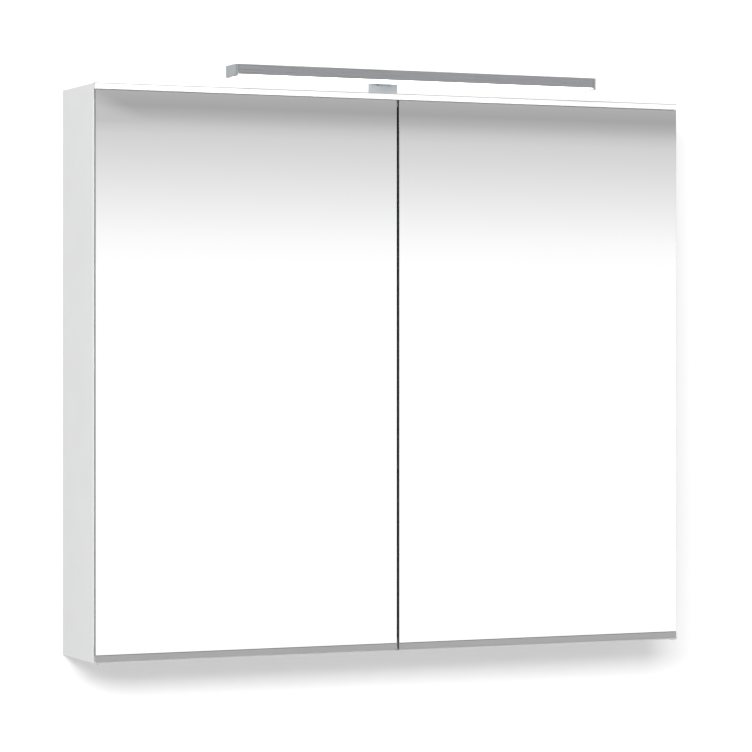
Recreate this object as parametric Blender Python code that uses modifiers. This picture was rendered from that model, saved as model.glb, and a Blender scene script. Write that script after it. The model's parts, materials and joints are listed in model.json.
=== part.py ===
"""Two-door mirrored medicine cabinet, 800 x 700 x 125 mm, with an LED lamp on its top.

Metres, +Z up. X runs to the cabinet's right, Y towards the wall, and the doors face -Y.
The wall plane is y = 0. The origin is the middle of the hanging rail's rear face.
"""

import math

import bmesh
import bpy
from mathutils import Matrix, Vector

# ---------------------------------------------------------------- driving sizes
WIDTH = 0.800
HEIGHT = 0.700
DEPTH = 0.125                    # wall plane to the doors' mirror face
PANEL = 0.016                    # side, top and bottom boards
FIT = 0.0003                     # gap left between two pieces that touch
EDGE = 0.0006                    # rounding on the boards' edges
OVERCUT = 0.002                  # how far a cutter runs past the face it opens

STRIP = 0.0076                   # height of the top board's nose above the doors
NOSE_LAP = 0.004                 # how far the nose's two ends run into its middle

BACK_THICK = 0.005
RAIL_THICK = 0.0127              # battens between the back panel and the wall
HANGING_RAIL = 0.070
LOWER_RAIL = 0.050

GLASS = 0.0030                   # each of the two mirrors of a door
SIDE_REVEAL = 0.0003             # side panel's outer face to the door's outer edge
MEETING_GAP = 0.0030
TOP_GAP = 0.0006                 # nose to the top of a door
GRIP_HEIGHT = 0.0094             # aluminium strip under the mirror
GRIP_BOTTOM = 0.0002             # its underside above the carcass's underside
GRIP_LIP = 0.0018                # flare that the fingers catch
GRIP_LIP_HEIGHT = 0.0012
GRIP_RAIL = 0.0208               # height of its rear leg
DOOR_RAIL = 0.0120               # top rail of a door
RAIL_PROUD = 0.0007              # a door's rails past the back of its rear mirror
DOOR_RAIL_THICK = GLASS + RAIL_PROUD
SWING_GAP = 0.0010               # rear of a door's rails to the carcass
REAR_INSET = 0.0007
ARRIS = 0.0004                   # bevel on a mirror's edges

PIVOT_X = 0.0024                 # door's outer edge to the pivot axis
PIVOT_R = 0.00125
PIVOT_PLAY = 0.0001
PIVOT_DEPTH = 0.0090             # pin length inside a door rail
PIVOT_SEAT = 0.0048              # pin length inside the top board's nose
CORNER_CUT = 0.0010              # relief on a rail's outer rear corner

LUG_THICK = 0.0012
LUG_LENGTH = 0.040
LUG_WIDTH = 0.0110
LUG_WEB = 0.0020                 # step from the plate in the board down to the tongue
LUG_TONGUE = 0.0050              # width of the tongue under the door
LUG_COLLAR_R = 0.0022
LUG_COLLAR_DROP = 0.0002         # collar's top below the grip's underside
LUG_MARGIN = 0.0004              # lug's front edge in front of its collar
LUG_SCREWS = (0.010, 0.034)      # behind the carcass's front edge
LUG_SCREW = 0.0120               # length in the board

SHELF = 0.006
SHELF_SIDE_GAP = 0.0015
SHELF_FRONT_GAP = 0.006
SHELF_BACK_GAP = 0.004
SHELF_LOWER = 0.215              # underside of each shelf above the carcass's underside
SHELF_UPPER = 0.435
SHELF_EDGE = 0.0008
SUPPORT_R = 0.0025
SUPPORT_SEAT = 0.0080
SUPPORT_OUT = 0.0085
SUPPORT_COLLAR = 0.0040
SUPPORT_COLLAR_THICK = 0.0009
SUPPORT_FRONT = 0.020            # from each end of the shelf's depth

CATCH = (0.026, 0.014, 0.020)
CATCH_X = 0.030                  # from the middle of the cabinet
CATCH_EDGE = 0.0008
STRIKE_R = 0.0065
STRIKE_THICK = 0.0009
STRIKE_DROP = 0.0010             # below the door's top rail
BUMPER_R = 0.0040
BUMPER_THICK = 0.0010
BUMPER_X = 0.0082                # door's outer edge to the bumper's middle
BUMPER_RISE = 0.0040             # rear mirror's bottom edge to the bumper

LAMP_LENGTH = 0.490
LAMP_DEPTH = 0.033
LAMP_REACH = 0.067               # mirror face to the lamp's front
LAMP_TOP = 0.0226                # above the cabinet's top
LAMP_HEIGHT = 0.0125             # channel
LAMP_WALL = 0.0015
CAP_THICK = 0.0035
CAP_DROP = 0.0022                # end caps below the channel
LAMP_EDGE = 0.0006
DIFFUSER_DROP = 0.0018
DIFFUSER_RISE = 0.0040           # part of the diffuser inside the channel
BOARD = (0.018, 0.0016)
BOARD_INSET = 0.006

FOOT = (0.036, 0.010, 0.016)
FOOT_BACK = 0.042                # mirror face to the foot's front
ARM_WIDTH = 0.020
ARM_THICK = 0.0028
TAB_WIDTH = 0.034
TAB_THICK = 0.0025
TAB_HEIGHT = 0.0095
TAB_DROP = 0.0012                # tab's top below the channel's top
ARM_INSET = 0.0006               # arm's end in front of the foot's rear face
ARM_SCREW_X = 0.0135
ARM_SCREW_R = 0.0015
ARM_SCREW_IN = 0.0015            # length past the channel's wall
ARM_HEAD_R = 0.0027
ARM_HEAD_THICK = 0.0012
FOOT_SCREW = 0.0100              # length inside the foot

SCREW_R = 0.0020
HEAD_R = 0.0036
HEAD_THICK = 0.0016
HEAD_LAP = 0.0003                # how far a shank runs into its head

HANGER = (0.050, 0.002, 0.038)
HANGER_SIDE = 0.070              # side panel's outer face to a hanger's middle
KEYHOLE_R = 0.0060
KEYHOLE_SLOT = 0.0060
KEYHOLE_RUN = 0.0110
KEYHOLE_CAVITY = 0.0090
KEYHOLE_MARGIN = 0.0030          # cavity past the round entry, and its ends inside the plate
KEYHOLE_EDGE = 0.0040            # plate's lower edge to the round entry
HANGER_SCREW_X = 0.0185
HANGER_SCREW = 0.0108            # length
HANGER_HEAD = 0.0006             # thickness of a flat head let into the plate

DRIVER = (0.150, 0.050, 0.032)
DRIVER_WALL = 0.002
DRIVER_BOARD = (0.100, 0.036, 0.0016)
DRIVER_STANDOFF = 0.003
DRIVER_STANDOFF_R = 0.002
DRIVER_PART_INSET = 0.004        # board to the wall, and standoffs to the board's edges
DRIVER_EDGE = 0.0010
COIL = (0.012, 0.008, 0.022, 0.020, 0.013)        # place, length, width and height of the transformer
CANS = (0.048, 0.062)            # capacitors along the board
CAN_R = 0.005
CAN_HEIGHT = 0.011
DRIVER_SIDE = 0.020              # inner face of the side panel to the box
SWITCH = (0.020, 0.013)          # rocker, width and height
SWITCH_PLAY = 0.0006
SWITCH_FROM_END = 0.030
ROCKER_TILT = math.radians(7.0)
ROCKER_PROUD = 0.0012
ROCKER_REAR = 0.0020             # behind the axle
ROCKER_TAPER = 0.0012            # rear corners narrower than the front
ROCKER_AXLE_DEEP = 0.0035        # axle behind the box's wall
ROCKER_AXLE_R = 0.0012
ROCKER_AXLE_OUT = 0.0022
CRADLE_WALL = 0.0020
CRADLE_DEEP = 0.0065             # behind the axle
GROMMET_R = 0.0085
GROMMET_HOLE = 0.0040
GROMMET_FLANGE = 0.0025
GROMMET_RIM = 0.0018
GROMMET_SIDE = 0.050
GROMMET_DROP = 0.010             # below the hanging rail

# ---------------------------------------------------------------- derived places
LEFT, RIGHT = -WIDTH / 2, WIDTH / 2
FACE = -DEPTH                                     # the doors' mirror face
FRONT_GAP = GLASS + FIT + DOOR_RAIL_THICK + SWING_GAP
CARCASS = FACE + FRONT_GAP                        # front edge of the boards
BOTTOM = -(HEIGHT - PANEL - FIT - HANGING_RAIL / 2)
TOP = BOTTOM + HEIGHT
IN_LEFT, IN_RIGHT = LEFT + PANEL, RIGHT - PANEL
IN_BOTTOM, IN_TOP = BOTTOM + PANEL, TOP - PANEL
BACK = -(RAIL_THICK + FIT)                        # rear face of the back panel
IN_BACK = BACK - BACK_THICK

LUG_POCKET = BOTTOM + LUG_THICK + HEAD_THICK + 2 * FIT   # ceiling of the lug's pocket
LUG_TOP = LUG_POCKET - FIT
LUG_UNDER = LUG_TOP - LUG_THICK
DOOR_TOP = TOP - STRIP - TOP_GAP
GRIP_Z = BOTTOM + GRIP_BOTTOM
MIRROR_BOTTOM = GRIP_Z + GRIP_HEIGHT + FIT
REAR_FACE = FACE + GLASS + FIT                    # front of what is behind the front mirror
RAIL_BACK = REAR_FACE + DOOR_RAIL_THICK
GLASS_BACK = REAR_FACE + GLASS
PIVOT_WORLD_Y = REAR_FACE + DOOR_RAIL_THICK / 2   # the pins run down the middle of the rails
PIVOT_WORLD_X = WIDTH / 2 - SIDE_REVEAL - PIVOT_X

LAMP_FRONT = FACE - LAMP_REACH
LAMP_BACK = LAMP_FRONT + LAMP_DEPTH
LAMP_Z1 = TOP + LAMP_TOP
LAMP_Z0 = LAMP_Z1 - LAMP_HEIGHT
FOOT_Y0 = FACE + FOOT_BACK
FOOT_Y1 = FOOT_Y0 + FOOT[1]
FOOT_Z1 = TOP + FOOT[2]

SHELF_Y0 = CARCASS + SHELF_FRONT_GAP
SHELF_Y1 = IN_BACK - SHELF_BACK_GAP

PARTS = "medicine_cabinet"
CUTTERS = "cutters"


# ---------------------------------------------------------------- scene helpers
def clear_scene():
    for obj in list(bpy.data.objects):
        bpy.data.objects.remove(obj, do_unlink=True)
    for name in (PARTS, CUTTERS):
        made = bpy.data.collections.new(name)
        bpy.context.scene.collection.children.link(made)
    bpy.data.collections[CUTTERS].hide_render = True


def material(name, colour, roughness, metallic=0.0, alpha=1.0, transmission=0.0, glow=0.0):
    made = bpy.data.materials.get(name)
    if made:
        return made
    made = bpy.data.materials.new(name)
    made.use_nodes = True
    made.diffuse_color = (*colour, alpha)
    shader = made.node_tree.nodes["Principled BSDF"]
    shader.inputs["Base Color"].default_value = (*colour, 1.0)
    shader.inputs["Roughness"].default_value = roughness
    shader.inputs["Metallic"].default_value = metallic
    shader.inputs["Transmission Weight"].default_value = transmission
    if glow:
        shader.inputs["Emission Color"].default_value = (*colour, 1.0)
        shader.inputs["Emission Strength"].default_value = glow
    return made


LOOKS = {
    "white_board": dict(colour=(0.80, 0.80, 0.80), roughness=0.35),
    "mirror": dict(colour=(0.93, 0.94, 0.94), roughness=0.02, metallic=1.0),
    "aluminium": dict(colour=(0.45, 0.46, 0.47), roughness=0.35, metallic=1.0),
    "steel": dict(colour=(0.62, 0.63, 0.64), roughness=0.30, metallic=1.0),
    "chrome": dict(colour=(0.85, 0.86, 0.87), roughness=0.06, metallic=1.0),
    "glass": dict(colour=(0.86, 0.95, 0.92), roughness=0.02, transmission=0.9, alpha=0.35),
    "opal": dict(colour=(1.0, 0.99, 0.96), roughness=0.45, glow=1.0),
    "white_circuit": dict(colour=(0.90, 0.90, 0.86), roughness=0.6),
    "green_circuit": dict(colour=(0.03, 0.22, 0.09), roughness=0.5),
    "light_plastic": dict(colour=(0.82, 0.83, 0.83), roughness=0.45),
    "dark_plastic": dict(colour=(0.06, 0.06, 0.06), roughness=0.4),
    "dark_rubber": dict(colour=(0.05, 0.05, 0.05), roughness=0.8),
    "clear_rubber": dict(colour=(0.80, 0.82, 0.82), roughness=0.4, alpha=0.6),
}


def keep(obj, name, look):
    """Names the object, gives it its material and puts it in the parts' collection."""
    obj.name = name
    obj.data.name = name
    obj.data.materials.clear()
    obj.data.materials.append(material(name + "_" + look, **LOOKS[look]))
    move_to(obj, PARTS)
    return obj


def move_to(obj, collection):
    for home in list(obj.users_collection):
        home.objects.unlink(obj)
    bpy.data.collections[collection].objects.link(obj)


def cutter(obj):
    move_to(obj, CUTTERS)
    obj.hide_render = True
    obj.display_type = "WIRE"
    return obj


def block(low, high):
    """A box from its lowest corner to its highest, with its scale applied."""
    low, high = Vector(low), Vector(high)
    bpy.ops.mesh.primitive_cube_add(size=1.0, location=(low + high) / 2)
    obj = bpy.context.object
    obj.scale = high - low
    bpy.ops.object.transform_apply(location=False, rotation=False, scale=True)
    return obj


def rod(start, end, radius, sides=24):
    """A cylinder between two points."""
    start, end = Vector(start), Vector(end)
    run = end - start
    turn = run.to_track_quat("Z", "Y").to_euler()
    bpy.ops.mesh.primitive_cylinder_add(
        vertices=sides, radius=radius, depth=run.length, location=(start + end) / 2, rotation=turn
    )
    return bpy.context.object


def outline_along_x(points, x0, x1):
    """A flat outline of (y, z) points, extruded from x0 to x1 and made a mesh."""
    data = bpy.data.curves.new("outline", "CURVE")
    data.dimensions = "2D"
    data.fill_mode = "BOTH"
    data.extrude = (x1 - x0) / 2
    line = data.splines.new("POLY")
    line.points.add(len(points) - 1)
    for point, (y, z) in zip(line.points, points):
        point.co = (y, z, 0.0, 1.0)
    line.use_cyclic_u = True
    curve = bpy.data.objects.new("outline", data)
    bpy.context.scene.collection.objects.link(curve)
    curve.matrix_world = Matrix(
        ((0, 0, 1, (x0 + x1) / 2), (1, 0, 0, 0), (0, 1, 0, 0), (0, 0, 0, 1))
    )
    bpy.context.view_layer.update()
    mesh = bpy.data.meshes.new_from_object(curve.evaluated_get(bpy.context.evaluated_depsgraph_get()))
    obj = bpy.data.objects.new("outline", mesh)
    obj.matrix_world = curve.matrix_world
    bpy.data.objects.remove(curve, do_unlink=True)
    shape = bmesh.new()
    shape.from_mesh(mesh)
    bmesh.ops.remove_doubles(shape, verts=shape.verts, dist=1e-6)
    bmesh.ops.recalc_face_normals(shape, faces=shape.faces)
    shape.to_mesh(mesh)
    shape.free()
    bpy.context.scene.collection.objects.link(obj)
    bpy.context.view_layer.update()
    return obj


def soften(obj, width, segments=2):
    bevel = obj.modifiers.new("soften", "BEVEL")
    bevel.width = width
    bevel.segments = segments
    bevel.limit_method = "ANGLE"
    bevel.angle_limit = math.radians(40)
    return obj


def combine(obj, other, operation):
    """Cuts the other object away, or joins it on, and keeps it as a hidden cutter."""
    cutter(other)
    step = obj.modifiers.new(operation.lower(), "BOOLEAN")
    step.operation = operation
    step.solver = "EXACT"
    step.object = other
    return obj


def cut(obj, *others):
    for other in others:
        combine(obj, other, "DIFFERENCE")
    return obj


def join(obj, *others):
    for other in others:
        combine(obj, other, "UNION")
    return obj


def axis_empty(name, place):
    bpy.ops.object.empty_add(type="ARROWS", location=place)
    empty = bpy.context.object
    empty.name = name
    empty.empty_display_size = 0.05
    move_to(empty, PARTS)
    return empty


def hang_on(empty, *pieces):
    """Parents pieces to an empty without moving them."""
    bpy.context.view_layer.update()
    for piece in pieces:
        piece.parent = empty
        piece.matrix_parent_inverse = empty.matrix_world.inverted()


# ---------------------------------------------------------------- carcass
def support_places():
    """(y, z) of the middle of each shelf support."""
    ys = (SHELF_Y0 + SUPPORT_FRONT, SHELF_Y1 - SUPPORT_FRONT)
    zs = (BOTTOM + SHELF_LOWER - FIT - SUPPORT_R, BOTTOM + SHELF_UPPER - FIT - SUPPORT_R)
    return [(y, z) for z in zs for y in ys]


def lug_screw_places(side):
    x = side * (WIDTH / 2 - PANEL / 2)
    return [(x, CARCASS + behind) for behind in LUG_SCREWS]


def side_panel(name, side):
    outer, inner = side * WIDTH / 2, side * (WIDTH / 2 - PANEL)
    panel = block(
        (min(outer, inner), CARCASS, BOTTOM), (max(outer, inner), 0.0, TOP)
    )
    keep(panel, name, "white_board")
    soften(panel, EDGE)
    for y, z in support_places():
        hole = rod(
            (inner + side * (SUPPORT_SEAT + FIT), y, z), (inner - side * OVERCUT, y, z),
            SUPPORT_R + PIVOT_PLAY,
        )
        cut(panel, hole)
    middle, half = side * (WIDTH / 2 - PANEL / 2), LUG_WIDTH / 2 + FIT
    cut(panel, block((middle - half, CARCASS - OVERCUT, BOTTOM - OVERCUT),
                     (middle + half, CARCASS + LUG_LENGTH + FIT, LUG_POCKET)))
    for x, y in lug_screw_places(side):
        cut(panel, rod((x, y, LUG_POCKET - OVERCUT), (x, y, LUG_TOP + LUG_SCREW + FIT), SCREW_R + PIVOT_PLAY))


def top_panel():
    """The top board, whose nose runs forward over the doors to the mirror face."""
    nose_z = TOP - STRIP
    nose = [(FACE + EDGE, TOP), (FACE, TOP - EDGE), (FACE, nose_z + EDGE), (FACE + EDGE, nose_z)]
    section = [(0.0, IN_TOP), (0.0, TOP), *nose, (CARCASS, nose_z), (CARCASS, IN_TOP)]
    panel = outline_along_x(section, IN_LEFT + FIT, IN_RIGHT - FIT)
    keep(panel, "top_panel", "white_board")
    end = [(CARCASS - FIT, TOP), *nose, (CARCASS - FIT, nose_z)]
    for side in (-1, 1):
        x0, x1 = sorted((side * WIDTH / 2, side * (WIDTH / 2 - PANEL - NOSE_LAP)))
        join(panel, outline_along_x(end, x0, x1))
    for side in (-1, 1):
        x = side * PIVOT_WORLD_X
        cut(panel, rod((x, PIVOT_WORLD_Y, nose_z - OVERCUT), (x, PIVOT_WORLD_Y, nose_z + PIVOT_SEAT),
                       PIVOT_R + PIVOT_PLAY))
    y = FOOT_Y0 + FOOT[1] / 2
    cut(panel, rod((0, y, IN_TOP - OVERCUT), (0, y, TOP + OVERCUT), SCREW_R + PIVOT_PLAY))


def carcass():
    side_panel("side_panel_left", -1)
    side_panel("side_panel_right", 1)
    top_panel()
    floor = block((IN_LEFT + FIT, CARCASS, BOTTOM), (IN_RIGHT - FIT, 0.0, IN_BOTTOM))
    soften(keep(floor, "bottom_panel", "white_board"), EDGE)

    back = block(
        (IN_LEFT + FIT, IN_BACK, IN_BOTTOM + FIT), (IN_RIGHT - FIT, BACK, IN_TOP - FIT)
    )
    keep(back, "back_panel", "white_board")
    x, z = grommet_place()
    cut(back, rod((x, IN_BACK - OVERCUT, z), (x, BACK + OVERCUT, z), GROMMET_R + PIVOT_PLAY, 32))


def grommet_place():
    below_rail = IN_TOP - FIT - HANGING_RAIL - GROMMET_DROP
    return IN_RIGHT - GROMMET_SIDE, below_rail - GROMMET_R - GROMMET_FLANGE


def hanger_x(side):
    return side * (WIDTH / 2 - HANGER_SIDE)


def hanging():
    """The battens that stand the back panel off the wall, and the two keyhole plates."""
    rail = block(
        (IN_LEFT + FIT, -RAIL_THICK, IN_TOP - FIT - HANGING_RAIL), (IN_RIGHT - FIT, 0.0, IN_TOP - FIT)
    )
    keep(rail, "hanging_rail", "white_board")
    lower = block(
        (IN_LEFT + FIT, -RAIL_THICK, IN_BOTTOM + FIT), (IN_RIGHT - FIT, 0.0, IN_BOTTOM + FIT + LOWER_RAIL)
    )
    keep(lower, "lower_rail", "white_board")

    width, thick, tall = HANGER
    for side, name in ((-1, "left"), (1, "right")):
        x = hanger_x(side)
        cut(rail, block(
            (x - width / 2 - FIT, -thick - FIT, -tall / 2 - FIT), (x + width / 2 + FIT, OVERCUT, tall / 2 + FIT)
        ))
        cut(rail, block(
            (x - KEYHOLE_R - KEYHOLE_MARGIN, -KEYHOLE_CAVITY, -tall / 2 + KEYHOLE_MARGIN),
            (x + KEYHOLE_R + KEYHOLE_MARGIN, OVERCUT, tall / 2 - KEYHOLE_MARGIN),
        ))
        plate = block((x - width / 2, -thick, -tall / 2), (x + width / 2, 0.0, tall / 2))
        keep(plate, "hanger_plate_" + name, "steel")
        hole_z = -tall / 2 + KEYHOLE_EDGE + KEYHOLE_R
        cut(plate, rod((x, -thick - OVERCUT, hole_z), (x, OVERCUT, hole_z), KEYHOLE_R, 32))
        cut(plate, block(
            (x - KEYHOLE_SLOT / 2, -thick - OVERCUT, hole_z),
            (x + KEYHOLE_SLOT / 2, OVERCUT, hole_z + KEYHOLE_RUN + KEYHOLE_SLOT / 2),
        ))
        for screw_side, tag in ((-1, "a"), (1, "b")):
            sx = x + screw_side * HANGER_SCREW_X
            sink = block(
                (sx - HEAD_R - FIT, -HANGER_HEAD - FIT, -HEAD_R - FIT), (sx + HEAD_R + FIT, OVERCUT, HEAD_R + FIT)
            )
            cut(plate, rod((sx, -thick - OVERCUT, 0), (sx, OVERCUT, 0), SCREW_R + PIVOT_PLAY), sink)
            cut(rail, rod((sx, -HANGER_SCREW - FIT, 0), (sx, OVERCUT, 0), SCREW_R + PIVOT_PLAY))
            screw = rod((sx, -HANGER_SCREW, 0), (sx, -HANGER_HEAD / 2, 0), SCREW_R)
            join(screw, rod((sx, -HANGER_HEAD, 0), (sx, 0.0, 0), HEAD_R))
            keep(screw, f"hanger_screw_{name}_{tag}", "steel")


# ---------------------------------------------------------------- shelves and small interior pieces
def shelves():
    for name, under in (("lower", SHELF_LOWER), ("upper", SHELF_UPPER)):
        plate = block(
            (IN_LEFT + SHELF_SIDE_GAP, SHELF_Y0, BOTTOM + under),
            (IN_RIGHT - SHELF_SIDE_GAP, SHELF_Y1, BOTTOM + under + SHELF),
        )
        soften(keep(plate, "glass_shelf_" + name, "glass"), SHELF_EDGE)
    tags = ("lower_front", "lower_back", "upper_front", "upper_back")
    for side, name in ((-1, "left"), (1, "right")):
        wall = side * (WIDTH / 2 - PANEL)
        for tag, (y, z) in zip(tags, support_places()):
            pin = rod((wall + side * SUPPORT_SEAT, y, z), (wall - side * SUPPORT_OUT, y, z), SUPPORT_R)
            collar = rod(
                (wall - side * FIT, y, z - SUPPORT_COLLAR + SUPPORT_R),
                (wall - side * (FIT + SUPPORT_COLLAR_THICK), y, z - SUPPORT_COLLAR + SUPPORT_R), SUPPORT_COLLAR,
            )
            join(pin, collar)
            keep(pin, f"shelf_support_{name}_{tag}", "steel")


def catches():
    width, deep, tall = CATCH
    for side, name in ((-1, "left"), (1, "right")):
        x = side * CATCH_X
        body = block(
            (x - width / 2, CARCASS + FIT, IN_TOP - FIT - tall), (x + width / 2, CARCASS + FIT + deep, IN_TOP - FIT)
        )
        soften(keep(body, "magnet_catch_" + name, "light_plastic"), CATCH_EDGE)


# ---------------------------------------------------------------- doors
def pivots():
    """A steel pin in the nose above each door, and a steel lug with a spigot under it.

    The lug's plate and its screws lie in a pocket under the side board. A tongue steps down from the
    plate and runs forward under the door.
    """
    for side, name in ((-1, "left"), (1, "right")):
        x = side * PIVOT_WORLD_X
        top = TOP - STRIP + PIVOT_SEAT - FIT
        keep(rod((x, PIVOT_WORLD_Y, DOOR_TOP - PIVOT_DEPTH), (x, PIVOT_WORLD_Y, top), PIVOT_R),
             "top_pivot_pin_" + name, "steel")

        middle = side * (WIDTH / 2 - PANEL / 2)
        z1 = BOTTOM - FIT
        z0 = z1 - LUG_THICK
        front = PIVOT_WORLD_Y - LUG_COLLAR_R - LUG_MARGIN
        web = CARCASS + FIT
        lug = block((middle - LUG_WIDTH / 2, web, LUG_UNDER), (middle + LUG_WIDTH / 2, CARCASS + LUG_LENGTH, LUG_TOP))
        x0, x1 = sorted((x - side * LUG_TONGUE / 2, middle + side * LUG_WIDTH / 2))
        join(lug, block((x0, web, z0), (x1, web + LUG_WEB, LUG_TOP)))
        join(lug, block((x - LUG_TONGUE / 2, front, z0), (x + LUG_TONGUE / 2, web + LUG_WEB / 2, z1)))
        for rise, top, radius in (
            (LUG_THICK / 4, GRIP_Z - LUG_COLLAR_DROP, LUG_COLLAR_R),
            (LUG_THICK / 2, GRIP_Z + PIVOT_DEPTH - SWING_GAP, PIVOT_R),
        ):
            join(lug, rod((x, PIVOT_WORLD_Y, z0 + rise), (x, PIVOT_WORLD_Y, top), radius))
        for tag, (sx, sy) in zip("ab", lug_screw_places(side)):
            under = LUG_UNDER - FIT
            cut(lug, rod((sx, sy, LUG_UNDER - OVERCUT), (sx, sy, LUG_TOP + OVERCUT), SCREW_R + PIVOT_PLAY))
            screw = rod((sx, sy, under - HEAD_LAP), (sx, sy, LUG_TOP + LUG_SCREW), SCREW_R)
            join(screw, rod((sx, sy, under - HEAD_THICK), (sx, sy, under), HEAD_R))
            keep(screw, f"lug_screw_{name}_{tag}", "steel")
        keep(lug, "bottom_pivot_lug_" + name, "steel")


def door(name, side):
    """One mirror door. side is -1 for the left door and 1 for the right."""
    outer, inner = side * (WIDTH / 2 - SIDE_REVEAL), side * MEETING_GAP / 2
    x0, x1 = min(outer, inner), max(outer, inner)
    axis = axis_empty("axis_door_" + name, (side * PIVOT_WORLD_X, PIVOT_WORLD_Y, (TOP + BOTTOM) / 2))

    front = block((x0, FACE, MIRROR_BOTTOM), (x1, FACE + GLASS, DOOR_TOP))
    soften(keep(front, "front_mirror_" + name, "mirror"), ARRIS, 1)

    rail = block((x0, REAR_FACE, DOOR_TOP - DOOR_RAIL), (x1, RAIL_BACK, DOOR_TOP))
    keep(rail, "door_top_rail_" + name, "aluminium")

    grip = outline_along_x(
        [
            (FACE - GRIP_LIP, GRIP_Z), (RAIL_BACK, GRIP_Z), (RAIL_BACK, GRIP_Z + GRIP_RAIL),
            (REAR_FACE, GRIP_Z + GRIP_RAIL), (REAR_FACE, GRIP_Z + GRIP_HEIGHT),
            (FACE, GRIP_Z + GRIP_HEIGHT), (FACE, GRIP_Z + 2 * GRIP_LIP_HEIGHT),
            (FACE - GRIP_LIP, GRIP_Z + GRIP_LIP_HEIGHT),
        ],
        x0, x1,
    )
    keep(grip, "grip_profile_" + name, "aluminium")

    px = side * PIVOT_WORLD_X
    relief = sorted((outer + side * OVERCUT, outer - side * CORNER_CUT))
    for piece, low, high, bore in (
        (rail, DOOR_TOP - DOOR_RAIL - OVERCUT, DOOR_TOP + OVERCUT,
         (DOOR_TOP - PIVOT_DEPTH - FIT, DOOR_TOP + OVERCUT)),
        (grip, GRIP_Z - OVERCUT, GRIP_Z + GRIP_RAIL + OVERCUT,
         (GRIP_Z - OVERCUT, GRIP_Z + PIVOT_DEPTH)),
    ):
        cut(piece, block((relief[0], RAIL_BACK - CORNER_CUT, low), (relief[1], RAIL_BACK + OVERCUT, high)))
        cut(piece, rod((px, PIVOT_WORLD_Y, bore[0]), (px, PIVOT_WORLD_Y, bore[1]), PIVOT_R + PIVOT_PLAY))

    rear = block(
        (x0 + REAR_INSET, REAR_FACE, GRIP_Z + GRIP_RAIL + FIT),
        (x1 - REAR_INSET, GLASS_BACK, DOOR_TOP - DOOR_RAIL - FIT),
    )
    soften(keep(rear, "rear_mirror_" + name, "mirror"), ARRIS, 1)

    sx = side * CATCH_X
    sz = DOOR_TOP - DOOR_RAIL - STRIKE_DROP - STRIKE_R
    strike_y = GLASS_BACK + FIT
    strike = rod((sx, strike_y, sz), (sx, strike_y + STRIKE_THICK, sz), STRIKE_R, 32)
    keep(strike, "strike_plate_" + name, "steel")
    bx = outer - side * BUMPER_X
    bz = GRIP_Z + GRIP_RAIL + FIT + BUMPER_R + BUMPER_RISE
    bump = rod((bx, GLASS_BACK + FIT, bz), (bx, GLASS_BACK + FIT + BUMPER_THICK, bz), BUMPER_R)
    keep(bump, "door_bumper_" + name, "clear_rubber")
    hang_on(axis, front, rail, grip, rear, strike, bump)


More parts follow.
